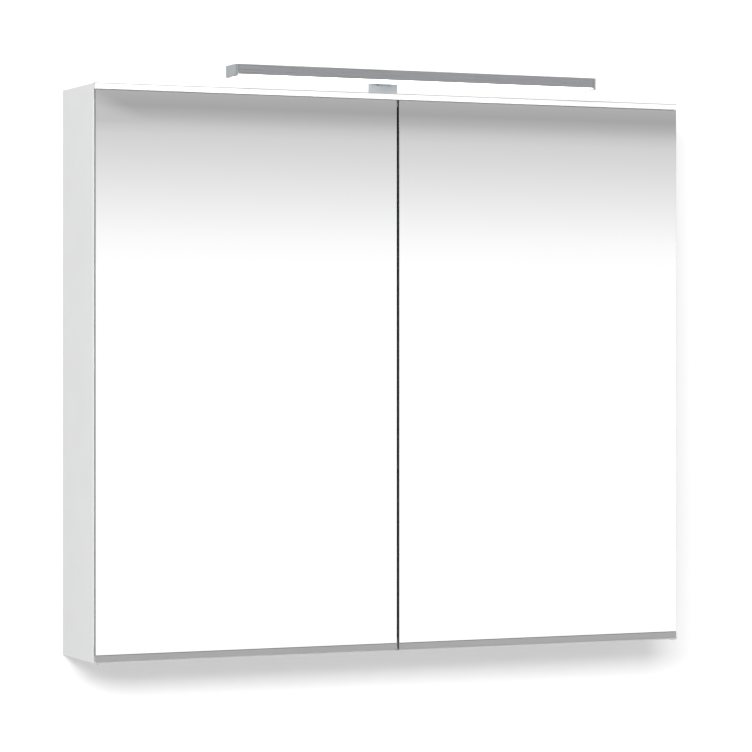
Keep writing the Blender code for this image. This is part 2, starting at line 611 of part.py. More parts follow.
# ---------------------------------------------------------------- lamp
def lamp():
    half = LAMP_LENGTH / 2
    run = half - CAP_THICK - FIT
    w = LAMP_WALL
    channel = outline_along_x(
        [
            (LAMP_FRONT, LAMP_Z0), (LAMP_FRONT, LAMP_Z1), (LAMP_BACK, LAMP_Z1), (LAMP_BACK, LAMP_Z0),
            (LAMP_BACK - w, LAMP_Z0), (LAMP_BACK - w, LAMP_Z1 - w), (LAMP_FRONT + w, LAMP_Z1 - w),
            (LAMP_FRONT + w, LAMP_Z0),
        ],
        -run, run,
    )
    keep(channel, "lamp_channel", "aluminium")

    for side, name in ((-1, "left"), (1, "right")):
        x0, x1 = sorted((side * half, side * (half - CAP_THICK)))
        cap = block((x0, LAMP_FRONT, LAMP_Z0 - CAP_DROP), (x1, LAMP_BACK, LAMP_Z1))
        soften(keep(cap, "lamp_end_cap_" + name, "aluminium"), LAMP_EDGE)

    glow = block(
        (-run, LAMP_FRONT + w + FIT, LAMP_Z0 - DIFFUSER_DROP), (run, LAMP_BACK - w - FIT, LAMP_Z0 + DIFFUSER_RISE)
    )
    soften(keep(glow, "lamp_diffuser", "opal"), LAMP_EDGE)

    middle = (LAMP_FRONT + LAMP_BACK) / 2
    strip_top = LAMP_Z1 - w - FIT
    strip = block(
        (-run + BOARD_INSET, middle - BOARD[0] / 2, strip_top - BOARD[1]),
        (run - BOARD_INSET, middle + BOARD[0] / 2, strip_top),
    )
    keep(strip, "led_board", "white_circuit")

    foot = block((-FOOT[0] / 2, FOOT_Y0, TOP + FIT), (FOOT[0] / 2, FOOT_Y1, FOOT_Z1))
    keep(foot, "lamp_foot", "aluminium")
    soften(foot, LAMP_EDGE)
    cut(foot, block(
        (-ARM_WIDTH / 2 - FIT, FOOT_Y0 - OVERCUT, FOOT_Z1 - ARM_THICK - FIT),
        (ARM_WIDTH / 2 + FIT, FOOT_Y1 + OVERCUT, FOOT_Z1 + OVERCUT),
    ))

    arm_y0 = LAMP_BACK + FIT
    arm = block((-ARM_WIDTH / 2, arm_y0, FOOT_Z1 - ARM_THICK), (ARM_WIDTH / 2, FOOT_Y1 - ARM_INSET, FOOT_Z1))
    tab_z1 = LAMP_Z1 - TAB_DROP
    join(arm, block((-TAB_WIDTH / 2, arm_y0, tab_z1 - TAB_HEIGHT), (TAB_WIDTH / 2, arm_y0 + TAB_THICK, tab_z1)))
    keep(arm, "lamp_arm", "chrome")

    r = ARM_SCREW_R
    screw_z = (LAMP_Z0 + DIFFUSER_RISE + LAMP_Z1 - w - BOARD[1]) / 2
    head = arm_y0 + TAB_THICK + FIT
    for side, name in ((-1, "left"), (1, "right")):
        x = side * ARM_SCREW_X
        for piece in (arm, channel):
            cut(piece, rod((x, LAMP_BACK - w - OVERCUT, screw_z), (x, head, screw_z), r + PIVOT_PLAY, 16))
        screw = rod((x, LAMP_BACK - w - ARM_SCREW_IN, screw_z), (x, head + HEAD_LAP, screw_z), r, 16)
        join(screw, rod((x, head, screw_z), (x, head + ARM_HEAD_THICK, screw_z), ARM_HEAD_R, 20))
        keep(screw, "arm_screw_" + name, "steel")

    y = (FOOT_Y0 + FOOT_Y1) / 2
    cut(foot, rod((0, y, TOP - OVERCUT), (0, y, TOP + FOOT_SCREW + FIT), SCREW_R + PIVOT_PLAY))
    under = IN_TOP - FIT
    screw = rod((0, y, under - HEAD_LAP), (0, y, TOP + FOOT_SCREW), SCREW_R)
    join(screw, rod((0, y, under - HEAD_THICK), (0, y, under), HEAD_R))
    keep(screw, "foot_screw", "steel")


# ---------------------------------------------------------------- driver, switch, cable outlet
def driver_box(low, high):
    """The box, which the top board closes above, and the circuit board on its floor."""
    wall = DRIVER_WALL
    x0, y0, z0 = low
    x1, y1, z1 = high
    box = block(low, high)
    keep(box, "driver_box", "light_plastic")
    soften(box, DRIVER_EDGE)
    cut(box, block((x0 + wall, y0 + wall, z0 + wall), (x1 - wall, y1 - wall, z1 + OVERCUT)))

    long, wide, thick = DRIVER_BOARD
    inset = DRIVER_PART_INSET
    bx, by = x0 + wall + inset, (y0 + y1 - wide) / 2
    under = z0 + wall + FIT + DRIVER_STANDOFF
    board = block((bx, by, under), (bx + long, by + wide, under + thick))
    seat, top = under + thick / 2, under + thick
    for px in (bx + inset, bx + long - inset):
        for py in (by + inset, by + wide - inset):
            join(board, rod((px, py, under - DRIVER_STANDOFF), (px, py, seat), DRIVER_STANDOFF_R, 16))
    cx, cy, coil_long, coil_wide, coil_tall = COIL
    join(board, block((bx + cx, by + cy, seat), (bx + cx + coil_long, by + cy + coil_wide, top + coil_tall)))
    for px in CANS:
        join(board, rod((bx + px, by + wide / 2, seat), (bx + px, by + wide / 2, top + CAN_HEIGHT), CAN_R))
    keep(board, "driver_board", "green_circuit")
    return box


def switch(box, x, wall_y, z):
    """The rocker on its axle, the cradle that carries it, and the hole in the box."""
    w, h = SWITCH
    play = SWITCH_PLAY
    axis_y = wall_y + DRIVER_WALL + ROCKER_AXLE_DEEP
    cut(box, block(
        (x - w / 2 - play, wall_y - OVERCUT, z - h / 2 - play),
        (x + w / 2 + play, wall_y + DRIVER_WALL + OVERCUT, z + h / 2 + play),
    ))
    face = -(axis_y - wall_y) - ROCKER_PROUD
    bow = h / 2 * math.tan(ROCKER_TILT)
    rocker = outline_along_x(
        [
            (face, 0.0), (face - bow, h / 2), (ROCKER_REAR, h / 2 - ROCKER_TAPER),
            (ROCKER_REAR, -h / 2 + ROCKER_TAPER), (face - bow, -h / 2),
        ],
        -w / 2, w / 2,
    )
    # The rocker is drawn about its own axle, then set down with its lower half pressed.
    rocker.data.transform(rocker.matrix_world)
    rocker.matrix_world = Matrix.Translation((x, axis_y, z))
    rocker.rotation_euler = (ROCKER_TILT, 0.0, 0.0)
    keep(rocker, "switch_rocker", "dark_plastic")
    out = w / 2 + ROCKER_AXLE_OUT
    join(rocker, rod((x - out, axis_y, z), (x + out, axis_y, z), ROCKER_AXLE_R))

    y0, y1 = wall_y + DRIVER_WALL + FIT, axis_y + CRADLE_DEEP
    ends = w / 2 + play + CRADLE_WALL
    cradle = block((x - ends, y0, z - h / 2 - play), (x + ends, y1, z + h / 2 + play))
    cut(cradle, block(
        (x - w / 2 - play, y0 - OVERCUT, z - h), (x + w / 2 + play, y1 - CRADLE_WALL, z + h)
    ))
    reach = ends + OVERCUT
    cut(cradle, rod((x - reach, axis_y, z), (x + reach, axis_y, z), ROCKER_AXLE_R + PIVOT_PLAY))
    keep(cradle, "switch_cradle", "dark_plastic")


def grommet():
    x, z = grommet_place()
    y0, y1 = IN_BACK - FIT, BACK + FIT
    ring = rod((x, y0 - GROMMET_RIM / 2, z), (x, y1 + GROMMET_RIM / 2, z), GROMMET_R, 32)
    for low, high in ((y0 - GROMMET_RIM, y0), (y1, y1 + GROMMET_RIM)):
        join(ring, rod((x, low, z), (x, high, z), GROMMET_R + GROMMET_FLANGE, 32))
    past = GROMMET_RIM + OVERCUT
    cut(ring, rod((x, y0 - past, z), (x, y1 + past, z), GROMMET_HOLE, 24))
    keep(ring, "cable_grommet", "dark_rubber")


def driver():
    width, deep, tall = DRIVER
    x1, y1, z1 = IN_RIGHT - DRIVER_SIDE, IN_BACK - FIT, IN_TOP - FIT
    low = (x1 - width, y1 - deep, z1 - tall)
    box = driver_box(low, (x1, y1, z1))
    switch(box, x1 - SWITCH_FROM_END, low[1], z1 - tall / 2)
    grommet()


def main():
    clear_scene()
    carcass()
    hanging()
    shelves()
    catches()
    pivots()
    door("left", -1)
    door("right", 1)
    lamp()
    driver()
    bpy.context.view_layer.update()


main()
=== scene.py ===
"""Looks for the two-door mirrored medicine cabinet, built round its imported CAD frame.

Metres, in the frame's own axes: X to the cabinet's right, Y towards the wall, Z up. The CAD nodes
keep their shapes and get procedural finishes. Small turned and moulded pieces, such as screws,
shelf supports and the rocker, are modelled here in more detail and replace their plain CAD solids.
"""

import json
import logging
import math
from dataclasses import dataclass
from enum import Enum
from typing import Callable, Sequence

import bmesh
import bpy
from mathutils import Matrix, Vector


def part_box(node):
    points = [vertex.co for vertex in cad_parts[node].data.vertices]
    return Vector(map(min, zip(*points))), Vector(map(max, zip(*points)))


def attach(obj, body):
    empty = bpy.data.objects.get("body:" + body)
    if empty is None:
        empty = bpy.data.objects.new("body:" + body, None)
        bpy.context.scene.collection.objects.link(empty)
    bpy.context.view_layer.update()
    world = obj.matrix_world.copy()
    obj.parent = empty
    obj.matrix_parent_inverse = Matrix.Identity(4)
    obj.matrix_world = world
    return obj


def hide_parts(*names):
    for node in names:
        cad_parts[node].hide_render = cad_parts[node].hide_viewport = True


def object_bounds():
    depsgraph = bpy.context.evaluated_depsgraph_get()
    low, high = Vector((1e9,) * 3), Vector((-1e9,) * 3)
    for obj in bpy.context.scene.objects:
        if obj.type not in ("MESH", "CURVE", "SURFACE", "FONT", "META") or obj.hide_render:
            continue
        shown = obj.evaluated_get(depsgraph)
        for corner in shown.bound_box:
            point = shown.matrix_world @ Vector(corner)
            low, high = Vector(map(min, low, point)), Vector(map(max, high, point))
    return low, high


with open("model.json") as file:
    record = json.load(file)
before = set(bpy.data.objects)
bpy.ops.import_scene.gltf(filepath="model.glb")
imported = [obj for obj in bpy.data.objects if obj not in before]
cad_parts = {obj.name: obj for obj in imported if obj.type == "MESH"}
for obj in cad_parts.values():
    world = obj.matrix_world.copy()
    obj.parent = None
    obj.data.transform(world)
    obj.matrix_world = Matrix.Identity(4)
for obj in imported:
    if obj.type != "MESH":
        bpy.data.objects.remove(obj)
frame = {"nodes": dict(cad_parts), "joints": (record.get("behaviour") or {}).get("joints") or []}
CAD_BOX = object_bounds()

LOG = logging.getLogger("medicine_cabinet")

# Most of a noise texture's values lie between these two.
NOISE_LOW, NOISE_HIGH = 0.3, 0.7
# Kept between the face of a new piece and the CAD face behind it.
CLEAR = 0.00005

Colour = tuple[float, float, float]
Point = Sequence[float]
Socket = bpy.types.NodeSocket
Profile = Sequence[tuple[float, float]]
Outline = Callable[[float], float]
Ring = tuple[float, Outline]


# ---------------------------------------------------------------- named choices
class Side(Enum):
    """A side of the cabinet, as the sign of its X."""

    LEFT = -1
    RIGHT = 1

    @property
    def label(self) -> str:
        """The side's word in node names."""
        return self.name.lower()


class Body(Enum):
    """The bodies that pieces ride on."""

    CABINET = "cabinet"
    DOOR_LEFT = "door_left"
    DOOR_RIGHT = "door_right"
    ROCKER = "rocker"

    @classmethod
    def door(cls, side: Side) -> "Body":
        """The door on a side."""
        return cls.DOOR_LEFT if side is Side.LEFT else cls.DOOR_RIGHT


class Axis(Enum):
    """An axis of the frame, as an index into a vector."""

    X = 0
    Y = 1
    Z = 2


class Facing(Enum):
    """The way that a face or a screw's head looks: an axis and a sign."""

    FRONT = (Axis.Y, -1.0)
    REAR = (Axis.Y, 1.0)
    UP = (Axis.Z, 1.0)
    DOWN = (Axis.Z, -1.0)

    @property
    def way(self) -> Vector:
        """A unit vector that points this way."""
        axis, sign = self.value
        return Vector([sign if other is axis else 0.0 for other in Axis])


# ---------------------------------------------------------------- node trees
class Graph:
    """A material's node tree, with short calls for the nodes that the finishes use."""

    def __init__(self, name: str) -> None:
        """Starts a material with a Principled shader and the piece's own coordinates.

        Args:
            name: the new material's name.
        """
        self.material = bpy.data.materials.new(name)
        self.material.use_nodes = True
        self.tree = self.material.node_tree
        self.shader = self.tree.nodes["Principled BSDF"]
        self.output = self.tree.nodes["Material Output"]
        coords = self.node("TexCoord")
        self.place: Socket = coords.outputs["Object"]
        self.normal: Socket = coords.outputs["Normal"]

    def node(self, kind: str, **settings: object) -> bpy.types.Node:
        """Adds a node and sets its properties.

        Args:
            kind: the node's class without its ShaderNode prefix.
            settings: properties of the node.

        Returns:
            The new node.
        """
        made = self.tree.nodes.new("ShaderNode" + kind)
        for key, value in settings.items():
            setattr(made, key, value)
        return made

    def feed(self, socket: Socket, value: object) -> None:
        """Links a socket to another one, or sets its plain value.

        Args:
            socket: the input to feed.
            value: an output socket, a number or a tuple.
        """
        if isinstance(value, bpy.types.NodeSocket):
            self.tree.links.new(value, socket)
        elif isinstance(value, tuple) and len(value) == 3 and socket.type == "RGBA":
            socket.default_value = (*value, 1.0)
        else:
            socket.default_value = value

    def set(self, **inputs: object) -> None:
        """Feeds the shader's own inputs.

        Args:
            inputs: a socket or value for each, named with underscores for spaces.
        """
        for key, value in inputs.items():
            socket = key.replace("_", " ").title().replace("Ior", "IOR")
            self.feed(self.shader.inputs[socket], value)

    def maths(self, operation: str, a: object, b: object = 0.0, clamp: bool = False) -> Socket:
        """One Math node.

        Args:
            operation: the node's operation.
            a: first value or socket.
            b: second value or socket.
            clamp: whether the result stays within 0 and 1.

        Returns:
            The result's socket.
        """
        made = self.node("Math", operation=operation, use_clamp=clamp)
        self.feed(made.inputs[0], a)
        self.feed(made.inputs[1], b)
        return made.outputs[0]

    def times(self, a: object, b: object) -> Socket:
        """Two values multiplied."""
        return self.maths("MULTIPLY", a, b)

    def plus(self, a: object, b: object, clamp: bool = False) -> Socket:
        """Two values added."""
        return self.maths("ADD", a, b, clamp)

    def along(self, axis: Axis, of: Socket | None = None) -> Socket:
        """One coordinate of the piece, or of another vector.

        Args:
            axis: which coordinate.
            of: the vector, the piece's own place if left out.

        Returns:
            The coordinate's socket, in metres for a place.
        """
        made = self.node("SeparateXYZ")
        self.feed(made.inputs[0], of or self.place)
        return made.outputs[axis.value]

    def faces(self, facing: Facing, least: float = 0.5) -> Socket:
        """1 on faces that look a given way and 0 elsewhere.

        Args:
            facing: the way.
            least: smallest part of the normal that counts.

        Returns:
            The mask's socket.
        """
        axis, sign = facing.value
        turned = self.times(self.along(axis, self.normal), sign)
        return self.maths("GREATER_THAN", turned, least)

    def across(self, axis: Axis, least: float = 0.5) -> Socket:
        """1 on faces that look either way along an axis and 0 elsewhere.

        Args:
            axis: the axis.
            least: smallest part of the normal that counts.

        Returns:
            The mask's socket.
        """
        size = self.maths("ABSOLUTE", self.along(axis, self.normal))
        return self.maths("GREATER_THAN", size, least)

    def line(self, axis: Axis, at: float, half: float) -> Socket:
        """1 in a thin band across an axis and 0 elsewhere.

        Args:
            axis: the axis that the band lies across.
            at: the band's middle.
            half: half of its width.

        Returns:
            The mask's socket.
        """
        off = self.maths("ABSOLUTE", self.maths("SUBTRACT", self.along(axis), at))
        return self.maths("LESS_THAN", off, half)

    def stretched(self, stretch: Point) -> Socket:
        """The piece's place with each axis scaled.

        Args:
            stretch: the axes' scales.

        Returns:
            The vector's socket.
        """
        made = self.node("Mapping")
        self.feed(made.inputs["Vector"], self.place)
        self.feed(made.inputs["Scale"], tuple(stretch))
        return made.outputs[0]

    def noise(
        self,
        scale: float,
        detail: float = 2.0,
        roughness: float = 0.5,
        stretch: Point = (1.0, 1.0, 1.0),
    ) -> Socket:
        """A Noise texture over the piece.

        Args:
            scale: features in a metre.
            detail: octaves.
            roughness: weight of the finer octaves.
            stretch: scale of each axis before the texture.

        Returns:
            The noise's value socket.
        """
        made = self.node("TexNoise")
        self.feed(made.inputs["Vector"], self.stretched(stretch))
        self.feed(made.inputs["Scale"], scale)
        self.feed(made.inputs["Detail"], detail)
        self.feed(made.inputs["Roughness"], roughness)
        return made.outputs["Fac"]

    def cells(self, scale: float, stretch: Point = (1.0, 1.0, 1.0), edges: bool = False) -> Socket:
        """A Voronoi texture over the piece.

        Args:
            scale: cells in a metre.
            stretch: scale of each axis before the texture.
            edges: the distance to the cells' edges instead of a tone for each cell.

        Returns:
            The value's socket.
        """
        made = self.node("TexVoronoi", feature="DISTANCE_TO_EDGE" if edges else "F1")
        self.feed(made.inputs["Vector"], self.stretched(stretch))
        self.feed(made.inputs["Scale"], scale)
        if edges:
            return made.outputs["Distance"]
        return self.along(Axis.X, made.outputs["Color"])

    def span(
        self, value: Socket, low: float, high: float, start: float = 0.0, end: float = 1.0
    ) -> Socket:
        """Spreads a value over another range, clamped.

        Args:
            value: the value's socket.
            low: result at start.
            high: result at end.
            start: lower end of the value.
            end: upper end of the value.

        Returns:
            The result's socket.
        """
        made = self.node("MapRange")
        keys = ("Value", "From Min", "From Max", "To Min", "To Max")
        for key, amount in zip(keys, (value, start, end, low, high)):
            self.feed(made.inputs[key], amount)
        return made.outputs[0]

    def gloss(self, value: Socket, roughness: float, less: float, more: float) -> Socket:
        """A roughness that changes along a noise.

        Args:
            value: the noise's socket.
            roughness: the roughness to change.
            less: how much smoother the noise's low parts are.
            more: how much rougher its high parts are.

        Returns:
            The roughness's socket.
        """
        return self.span(value, roughness - less, roughness + more, NOISE_LOW, NOISE_HIGH)

    def tones(self, value: Socket, *stops: tuple[float, Colour]) -> Socket:
        """Colours along a value.

        Args:
            value: the value's socket.
            stops: a place from 0 to 1 and a colour for each.

        Returns:
            The colour's socket.
        """
        made = self.node("ValToRGB")
        self.feed(made.inputs[0], value)
        ramp = made.color_ramp.elements
        while len(ramp) < len(stops):
            ramp.new(0.5)
        for element, (place, colour) in zip(ramp, stops):
            element.position = place
            element.color = (*colour, 1.0)
        return made.outputs["Color"]

    def tinted(
        self,
        value: Socket,
        colour: Colour,
        dark: float,
        light: float = 1.0,
        start: float = NOISE_LOW,
        end: float = NOISE_HIGH,
    ) -> Socket:
        """One colour, darker at the low end of a value and lighter at its high end.

        Args:
            value: the value's socket.
            colour: the colour.
            dark: factor on the colour at start.
            light: factor on the colour at end.
            start: lower end of the value.
            end: upper end of the value.

        Returns:
            The colour's socket.
        """
        return self.tones(value, (start, shade(colour, dark)), (end, shade(colour, light)))

    def mix(self, share: object, a: object, b: object, blend: str = "MIX") -> Socket:
        """Blends two colours.

        Args:
            share: how much of the second.
            a: first colour.
            b: second colour.
            blend: the blend's kind.

        Returns:
            The colour's socket.
        """
        made = self.node("Mix", data_type="RGBA", blend_type=blend)
        self.feed(made.inputs[0], share)
        self.feed(made.inputs[6], a)
        self.feed(made.inputs[7], b)
        return made.outputs[2]

    def relief(self, height: Socket, distance: float, strength: float = 1.0) -> None:
        """Drives the shader's normal from a height.

        Args:
            height: the height's socket, from 0 to 1.
            distance: the height of 1 in metres.
            strength: how much of it shows.
        """
        made = self.node("Bump")
        self.feed(made.inputs["Height"], height)
        self.feed(made.inputs["Distance"], distance)
        self.feed(made.inputs["Strength"], strength)
        self.feed(self.shader.inputs["Normal"], made.outputs[0])


def shade(colour: Colour, by: float) -> Colour:
    """A colour made lighter or darker by a factor."""
    return tuple(part * by for part in colour)


# ---------------------------------------------------------------- finishes
@dataclass(frozen=True)
class Finish:
    """A surface finish. Each kind draws its own nodes.

    Attributes:
        name: its material's name.
        colour: its main colour.
        roughness: how dull it is.
    """

    name: str
    colour: Colour
    roughness: float

    def material(self) -> bpy.types.Material:
        """The finish's Blender material, drawn on first use.

        Returns:
            The material.
        """
        made = bpy.data.materials.get(self.name)
        if made is None:
            graph = Graph(self.name)
            self.draw(graph)
            made = graph.material
        return made

    def draw(self, graph: Graph) -> None:
        """Draws the finish's nodes."""
        raise NotImplementedError


@dataclass(frozen=True)
class FoilBoard(Finish):
    """Chipboard in white foil. Faces that were sawn and not banded show the chips.

    Attributes:
        raw: the ways that the sawn faces look.
        band_at: where the front edge's band starts, if it has one.
        band_width: the band's thickness.
        band_joint: half of the width of the joint behind the band.
        nose_line: the height of a nose's top edge, if the board has one.
        nose_colour: the nose's front face, painted paler than the foil as the lamp's light on it.
        nose_line_width: the grey line under the nose's top edge.
        chip_dark: the darkest chips.
        chip_light: the chips' usual tone.
    """

    raw: tuple[Facing, ...] = ()
    band_at: float | None = None
    band_width: float = 0.0009
    band_joint: float = 0.00012
    nose_line: float | None = None
    nose_colour: Colour = (0.84, 0.842, 0.843)
    nose_line_width: float = 0.0013
    chip_dark: Colour = (0.23, 0.15, 0.085)
    chip_light: Colour = (0.60, 0.46, 0.29)

    def draw(self, graph: Graph) -> None:
        """Foil with a fine peel, the front band's joint, and chips on the sawn faces.

        Args:
            graph: the nodes to draw in.
        """
        white = graph.tinted(graph.noise(7.0, 3.0), self.colour, 0.985)
        if self.band_at is not None:
            joint = graph.line(Axis.Y, self.band_at + self.band_width, self.band_joint)
            joint = graph.times(joint, graph.across(Axis.X))
            white = graph.mix(joint, white, shade(self.colour, 0.80))
        if self.nose_line is not None:
            white = self.nose(graph, white)
        sheen = graph.gloss(graph.noise(22.0, 4.0), self.roughness, 0.05, 0.06)
        height = graph.noise(900.0, 2.0)
        if self.raw:
            sawn = graph.faces(self.raw[0])
            for facing in self.raw[1:]:
                sawn = graph.maths("MAXIMUM", sawn, graph.faces(facing))
            chips = graph.cells(480.0, (1.0, 1.0, 1.6))
            fine = graph.noise(1500.0, 3.0, 0.65)
            grain = graph.plus(graph.times(chips, 0.65), graph.times(fine, 0.35))
            pale = (0.85, shade(self.chip_light, 1.25))
            wood = graph.tones(grain, (0.15, self.chip_dark), (0.50, self.chip_light), pale)
            white = graph.mix(sawn, white, wood)
            sheen = graph.plus(sheen, graph.times(sawn, 0.40), clamp=True)
            height = graph.plus(height, graph.times(graph.times(sawn, grain), 9.0))
        graph.set(base_color=white, roughness=sheen)
        graph.relief(height, 0.000012, 0.6)

    def nose(self, graph: Graph, white: Socket) -> Socket:
        """Adds a nose's front, painted paler as the lamp's light on it, and the patchy grey line
        under its top edge.

        Args:
            graph: the finish's nodes.
            white: the foil's colour.

        Returns:
            The new colour's socket.
        """
        # Painted light: the board's front faces take a paler colour than its foil, standing in for
        # the lamp's light falling on them.
        white = graph.mix(graph.faces(Facing.FRONT), white, self.nose_colour)
        half = self.nose_line_width / 2
        below_top = graph.maths("SUBTRACT", 1.0, graph.faces(Facing.UP, 0.9))
        lip = graph.times(graph.line(Axis.Z, self.nose_line - half, half), below_top)
        patches = graph.noise(5.0, 1.0, stretch=(1.0, 0.0, 0.0))
        patches = graph.span(patches, 0.75, 1.0, 0.35, 0.65)
        return graph.mix(graph.times(lip, patches), white, shade(self.colour, 0.50))


@dataclass(frozen=True)
class Hardboard(Finish):
    """The back panel: white lacquer in front and bare brown fibre behind.

    Attributes:
        fibre_dark: the fibres' darkest tone.
        fibre_light: their lightest.
        weave: ripple of the press's wire screen, in radians a metre.
    """

    fibre_dark: Colour = (0.17, 0.095, 0.05)
    fibre_light: Colour = (0.36, 0.22, 0.12)
    weave: float = 3600.0

    def draw(self, graph: Graph) -> None:
        """White towards the shelves and a woven fibre face towards the wall.

        Args:
            graph: the nodes to draw in.
        """
        behind = graph.faces(Facing.REAR)
        ripples = [
            graph.maths("SINE", graph.times(graph.along(axis), self.weave))
            for axis in (Axis.X, Axis.Z)
        ]
        screen = graph.times(*ripples)
        fibres = graph.plus(graph.noise(160.0, 5.0, 0.7), graph.times(screen, 0.08))
        brown = graph.tones(fibres, (0.30, self.fibre_dark), (0.72, self.fibre_light))
        white = graph.tinted(graph.noise(6.0, 2.0), self.colour, 0.98)
        graph.set(
            base_color=graph.mix(behind, white, brown),
            roughness=graph.span(behind, self.roughness, 0.82),
        )
        height = graph.plus(graph.times(fibres, behind), graph.noise(700.0))
        graph.relief(height, 0.00002, 0.5)


@dataclass(frozen=True)
class SilveredGlass(Finish):
    """Mirror glass: silver on the broad faces, a polished arris and a dark sealed edge.

    Attributes:
        edge: the sealed edge's tone.
        arris: the tone of the narrow slope between face and edge.
    """

    edge: Colour = (0.050, 0.049, 0.049)
    arris: Colour = (0.20, 0.21, 0.205)

    def draw(self, graph: Graph) -> None:
        """Silver, with faint cleaning haze and a slightly drawn-glass surface.

        Args:
            graph: the nodes to draw in.
        """
        silver = graph.across(Axis.Y, 0.95)
        rim = graph.across(Axis.Y, 0.5)
        haze = graph.noise(3.0, 4.0, 0.6, (1.0, 1.0, 2.5))
        ground = graph.tinted(graph.noise(1400.0, 3.0), self.edge, 0.85, 1.1)
        edges = graph.mix(rim, ground, self.arris)
        graph.set(
            base_color=graph.mix(silver, edges, self.colour),
            metallic=silver,
            roughness=graph.plus(
                graph.times(graph.span(haze, 0.0, 0.012, 0.35, 0.75), silver),
                graph.span(silver, 0.28, self.roughness),
            ),
        )
        graph.relief(graph.noise(2.2, 1.0), 0.0000012, 0.25)


@dataclass(frozen=True)
class Anodised(Finish):
    """Satin anodised aluminium, extruded and brushed along one axis.

    Attributes:
        grain: the axis that its scratches run along.
        contrast: how much its tone changes.
        polished: bottom and top of a band painted lighter as a highlight, if it has one.
        shine: the painted highlight's tone.
    """

    grain: Axis = Axis.X
    contrast: float = 0.05
    polished: tuple[float, float] | None = None
    shine: Colour = (0.60, 0.60, 0.60)

    def draw(self, graph: Graph) -> None:
        """Long fine scratches, with a slow change of tone, and a band painted lighter as a
        highlight.

        Args:
            graph: the nodes to draw in.
        """
        stretch = [1.0, 1.0, 1.0]
        stretch[self.grain.value] = 0.006
        scratch = graph.noise(2600.0, 3.0, 0.6, stretch)
        slow = graph.noise(11.0, 2.0)
        tone = graph.plus(graph.times(scratch, 0.7), graph.times(slow, 0.3))
        metal = graph.tinted(
            tone, self.colour, 1.0 - self.contrast, 1.0 + self.contrast, 0.35, 0.65
        )
        # Painted highlight: a lighter band of colour along the lip, for the light that the lip
        # catches.
        if self.polished is not None:
            low, high = self.polished
            edge = graph.line(Axis.Z, (low + high) / 2, (high - low) / 2)
            metal = graph.mix(edge, metal, self.shine)
        graph.set(
            base_color=metal,
            metallic=1.0,
            roughness=graph.gloss(scratch, self.roughness, 0.06, 0.08),
        )
        graph.relief(scratch, 0.000004, 0.5)


@dataclass(frozen=True)
class Plated(Finish):
    """Zinc or nickel on steel: small crystals of slightly different tone, and handling marks.

    Attributes:
        crystals: how many in a metre.
        contrast: how much their tone differs.
    """

    crystals: float = 260.0
    contrast: float = 0.10

    def draw(self, graph: Graph) -> None:
        """Crystals, and a cloudy change of gloss.

        Args:
            graph: the nodes to draw in.
        """
        crystal = graph.cells(self.crystals)
        clouds = graph.noise(60.0, 3.0)
        graph.set(
            base_color=graph.tinted(
                crystal, self.colour, 1.0 - self.contrast, 1.0 + self.contrast, 0.0, 1.0
            ),
            metallic=1.0,
            roughness=graph.gloss(clouds, self.roughness, 0.05, 0.10),
        )
        graph.relief(graph.noise(1800.0, 2.0), 0.000006, 0.4)


@dataclass(frozen=True)
class ShelfGlass(Finish):
    """Clear float glass whose ground edges look green.

    Attributes:
        edge: the edges' colour.
    """

    edge: Colour = (0.30, 0.62, 0.50)

    def draw(self, graph: Graph) -> None:
        """Clear broad faces and a deeper green at the edges.

        Args:
            graph: the nodes to draw in.
        """
        broad = graph.across(Axis.Z, 0.9)
        smears = graph.noise(18.0, 4.0, 0.65)
        graph.set(
            base_color=graph.mix(broad, self.edge, self.colour),
            roughness=graph.plus(
                graph.span(broad, 0.16, self.roughness), graph.span(smears, 0.0, 0.015, 0.45, 0.8)
            ),
            transmission_weight=1.0,
            ior=1.52,
        )
        graph.relief(graph.noise(4.0, 1.0), 0.000002, 0.3)


@dataclass(frozen=True)
class OpalAcrylic(Finish):
    """The lamp's glowing cover, a little brighter under each light-emitting chip.

    Attributes:
        glow: its brightness.
        pitch: from chip to chip.
        dim: its light's colour between two chips.
        bright: its light's colour under a chip.
    """

    glow: float = 4.5
    pitch: float = 0.0118
    dim: Colour = (0.93, 0.92, 0.90)
    bright: Colour = (1.0, 0.995, 0.975)

    def draw(self, graph: Graph) -> None:
        """A satin white that glows, with soft spots along the bar.

        Args:
            graph: the nodes to draw in.
        """
        phase = graph.times(graph.along(Axis.X), 2.0 * math.pi / self.pitch)
        spots = graph.span(graph.maths("COSINE", phase), 0.0, 1.0, -1.0, 1.0)
        graph.set(
            base_color=graph.tinted(graph.noise(30.0), self.colour, 0.96),
            roughness=graph.gloss(graph.noise(500.0), self.roughness, 0.05, 0.05),
            emission_color=graph.tones(spots, (0.0, self.dim), (1.0, self.bright)),
            emission_strength=self.glow,
        )
        graph.relief(graph.noise(800.0, 2.0), 0.00001, 0.4)


@dataclass(frozen=True)
class Moulded(Finish):
    """Injection-moulded plastic with a spark-eroded texture.

    Attributes:
        texture: pits in a metre.
        depth: the pits' depth.
    """

    texture: float = 2200.0
    depth: float = 0.000018

    def draw(self, graph: Graph) -> None:
        """A fine pitted skin, slightly shinier where hands rub it.

        Args:
            graph: the nodes to draw in.
        """
        pits = graph.noise(self.texture, 3.0, 0.6)
        rubbed = graph.noise(35.0, 3.0)
        graph.set(
            base_color=graph.tinted(rubbed, self.colour, 0.95, 1.03),
            roughness=graph.span(rubbed, self.roughness + 0.06, self.roughness - 0.08, 0.35, 0.7),
        )
        graph.relief(pits, self.depth, 0.6)


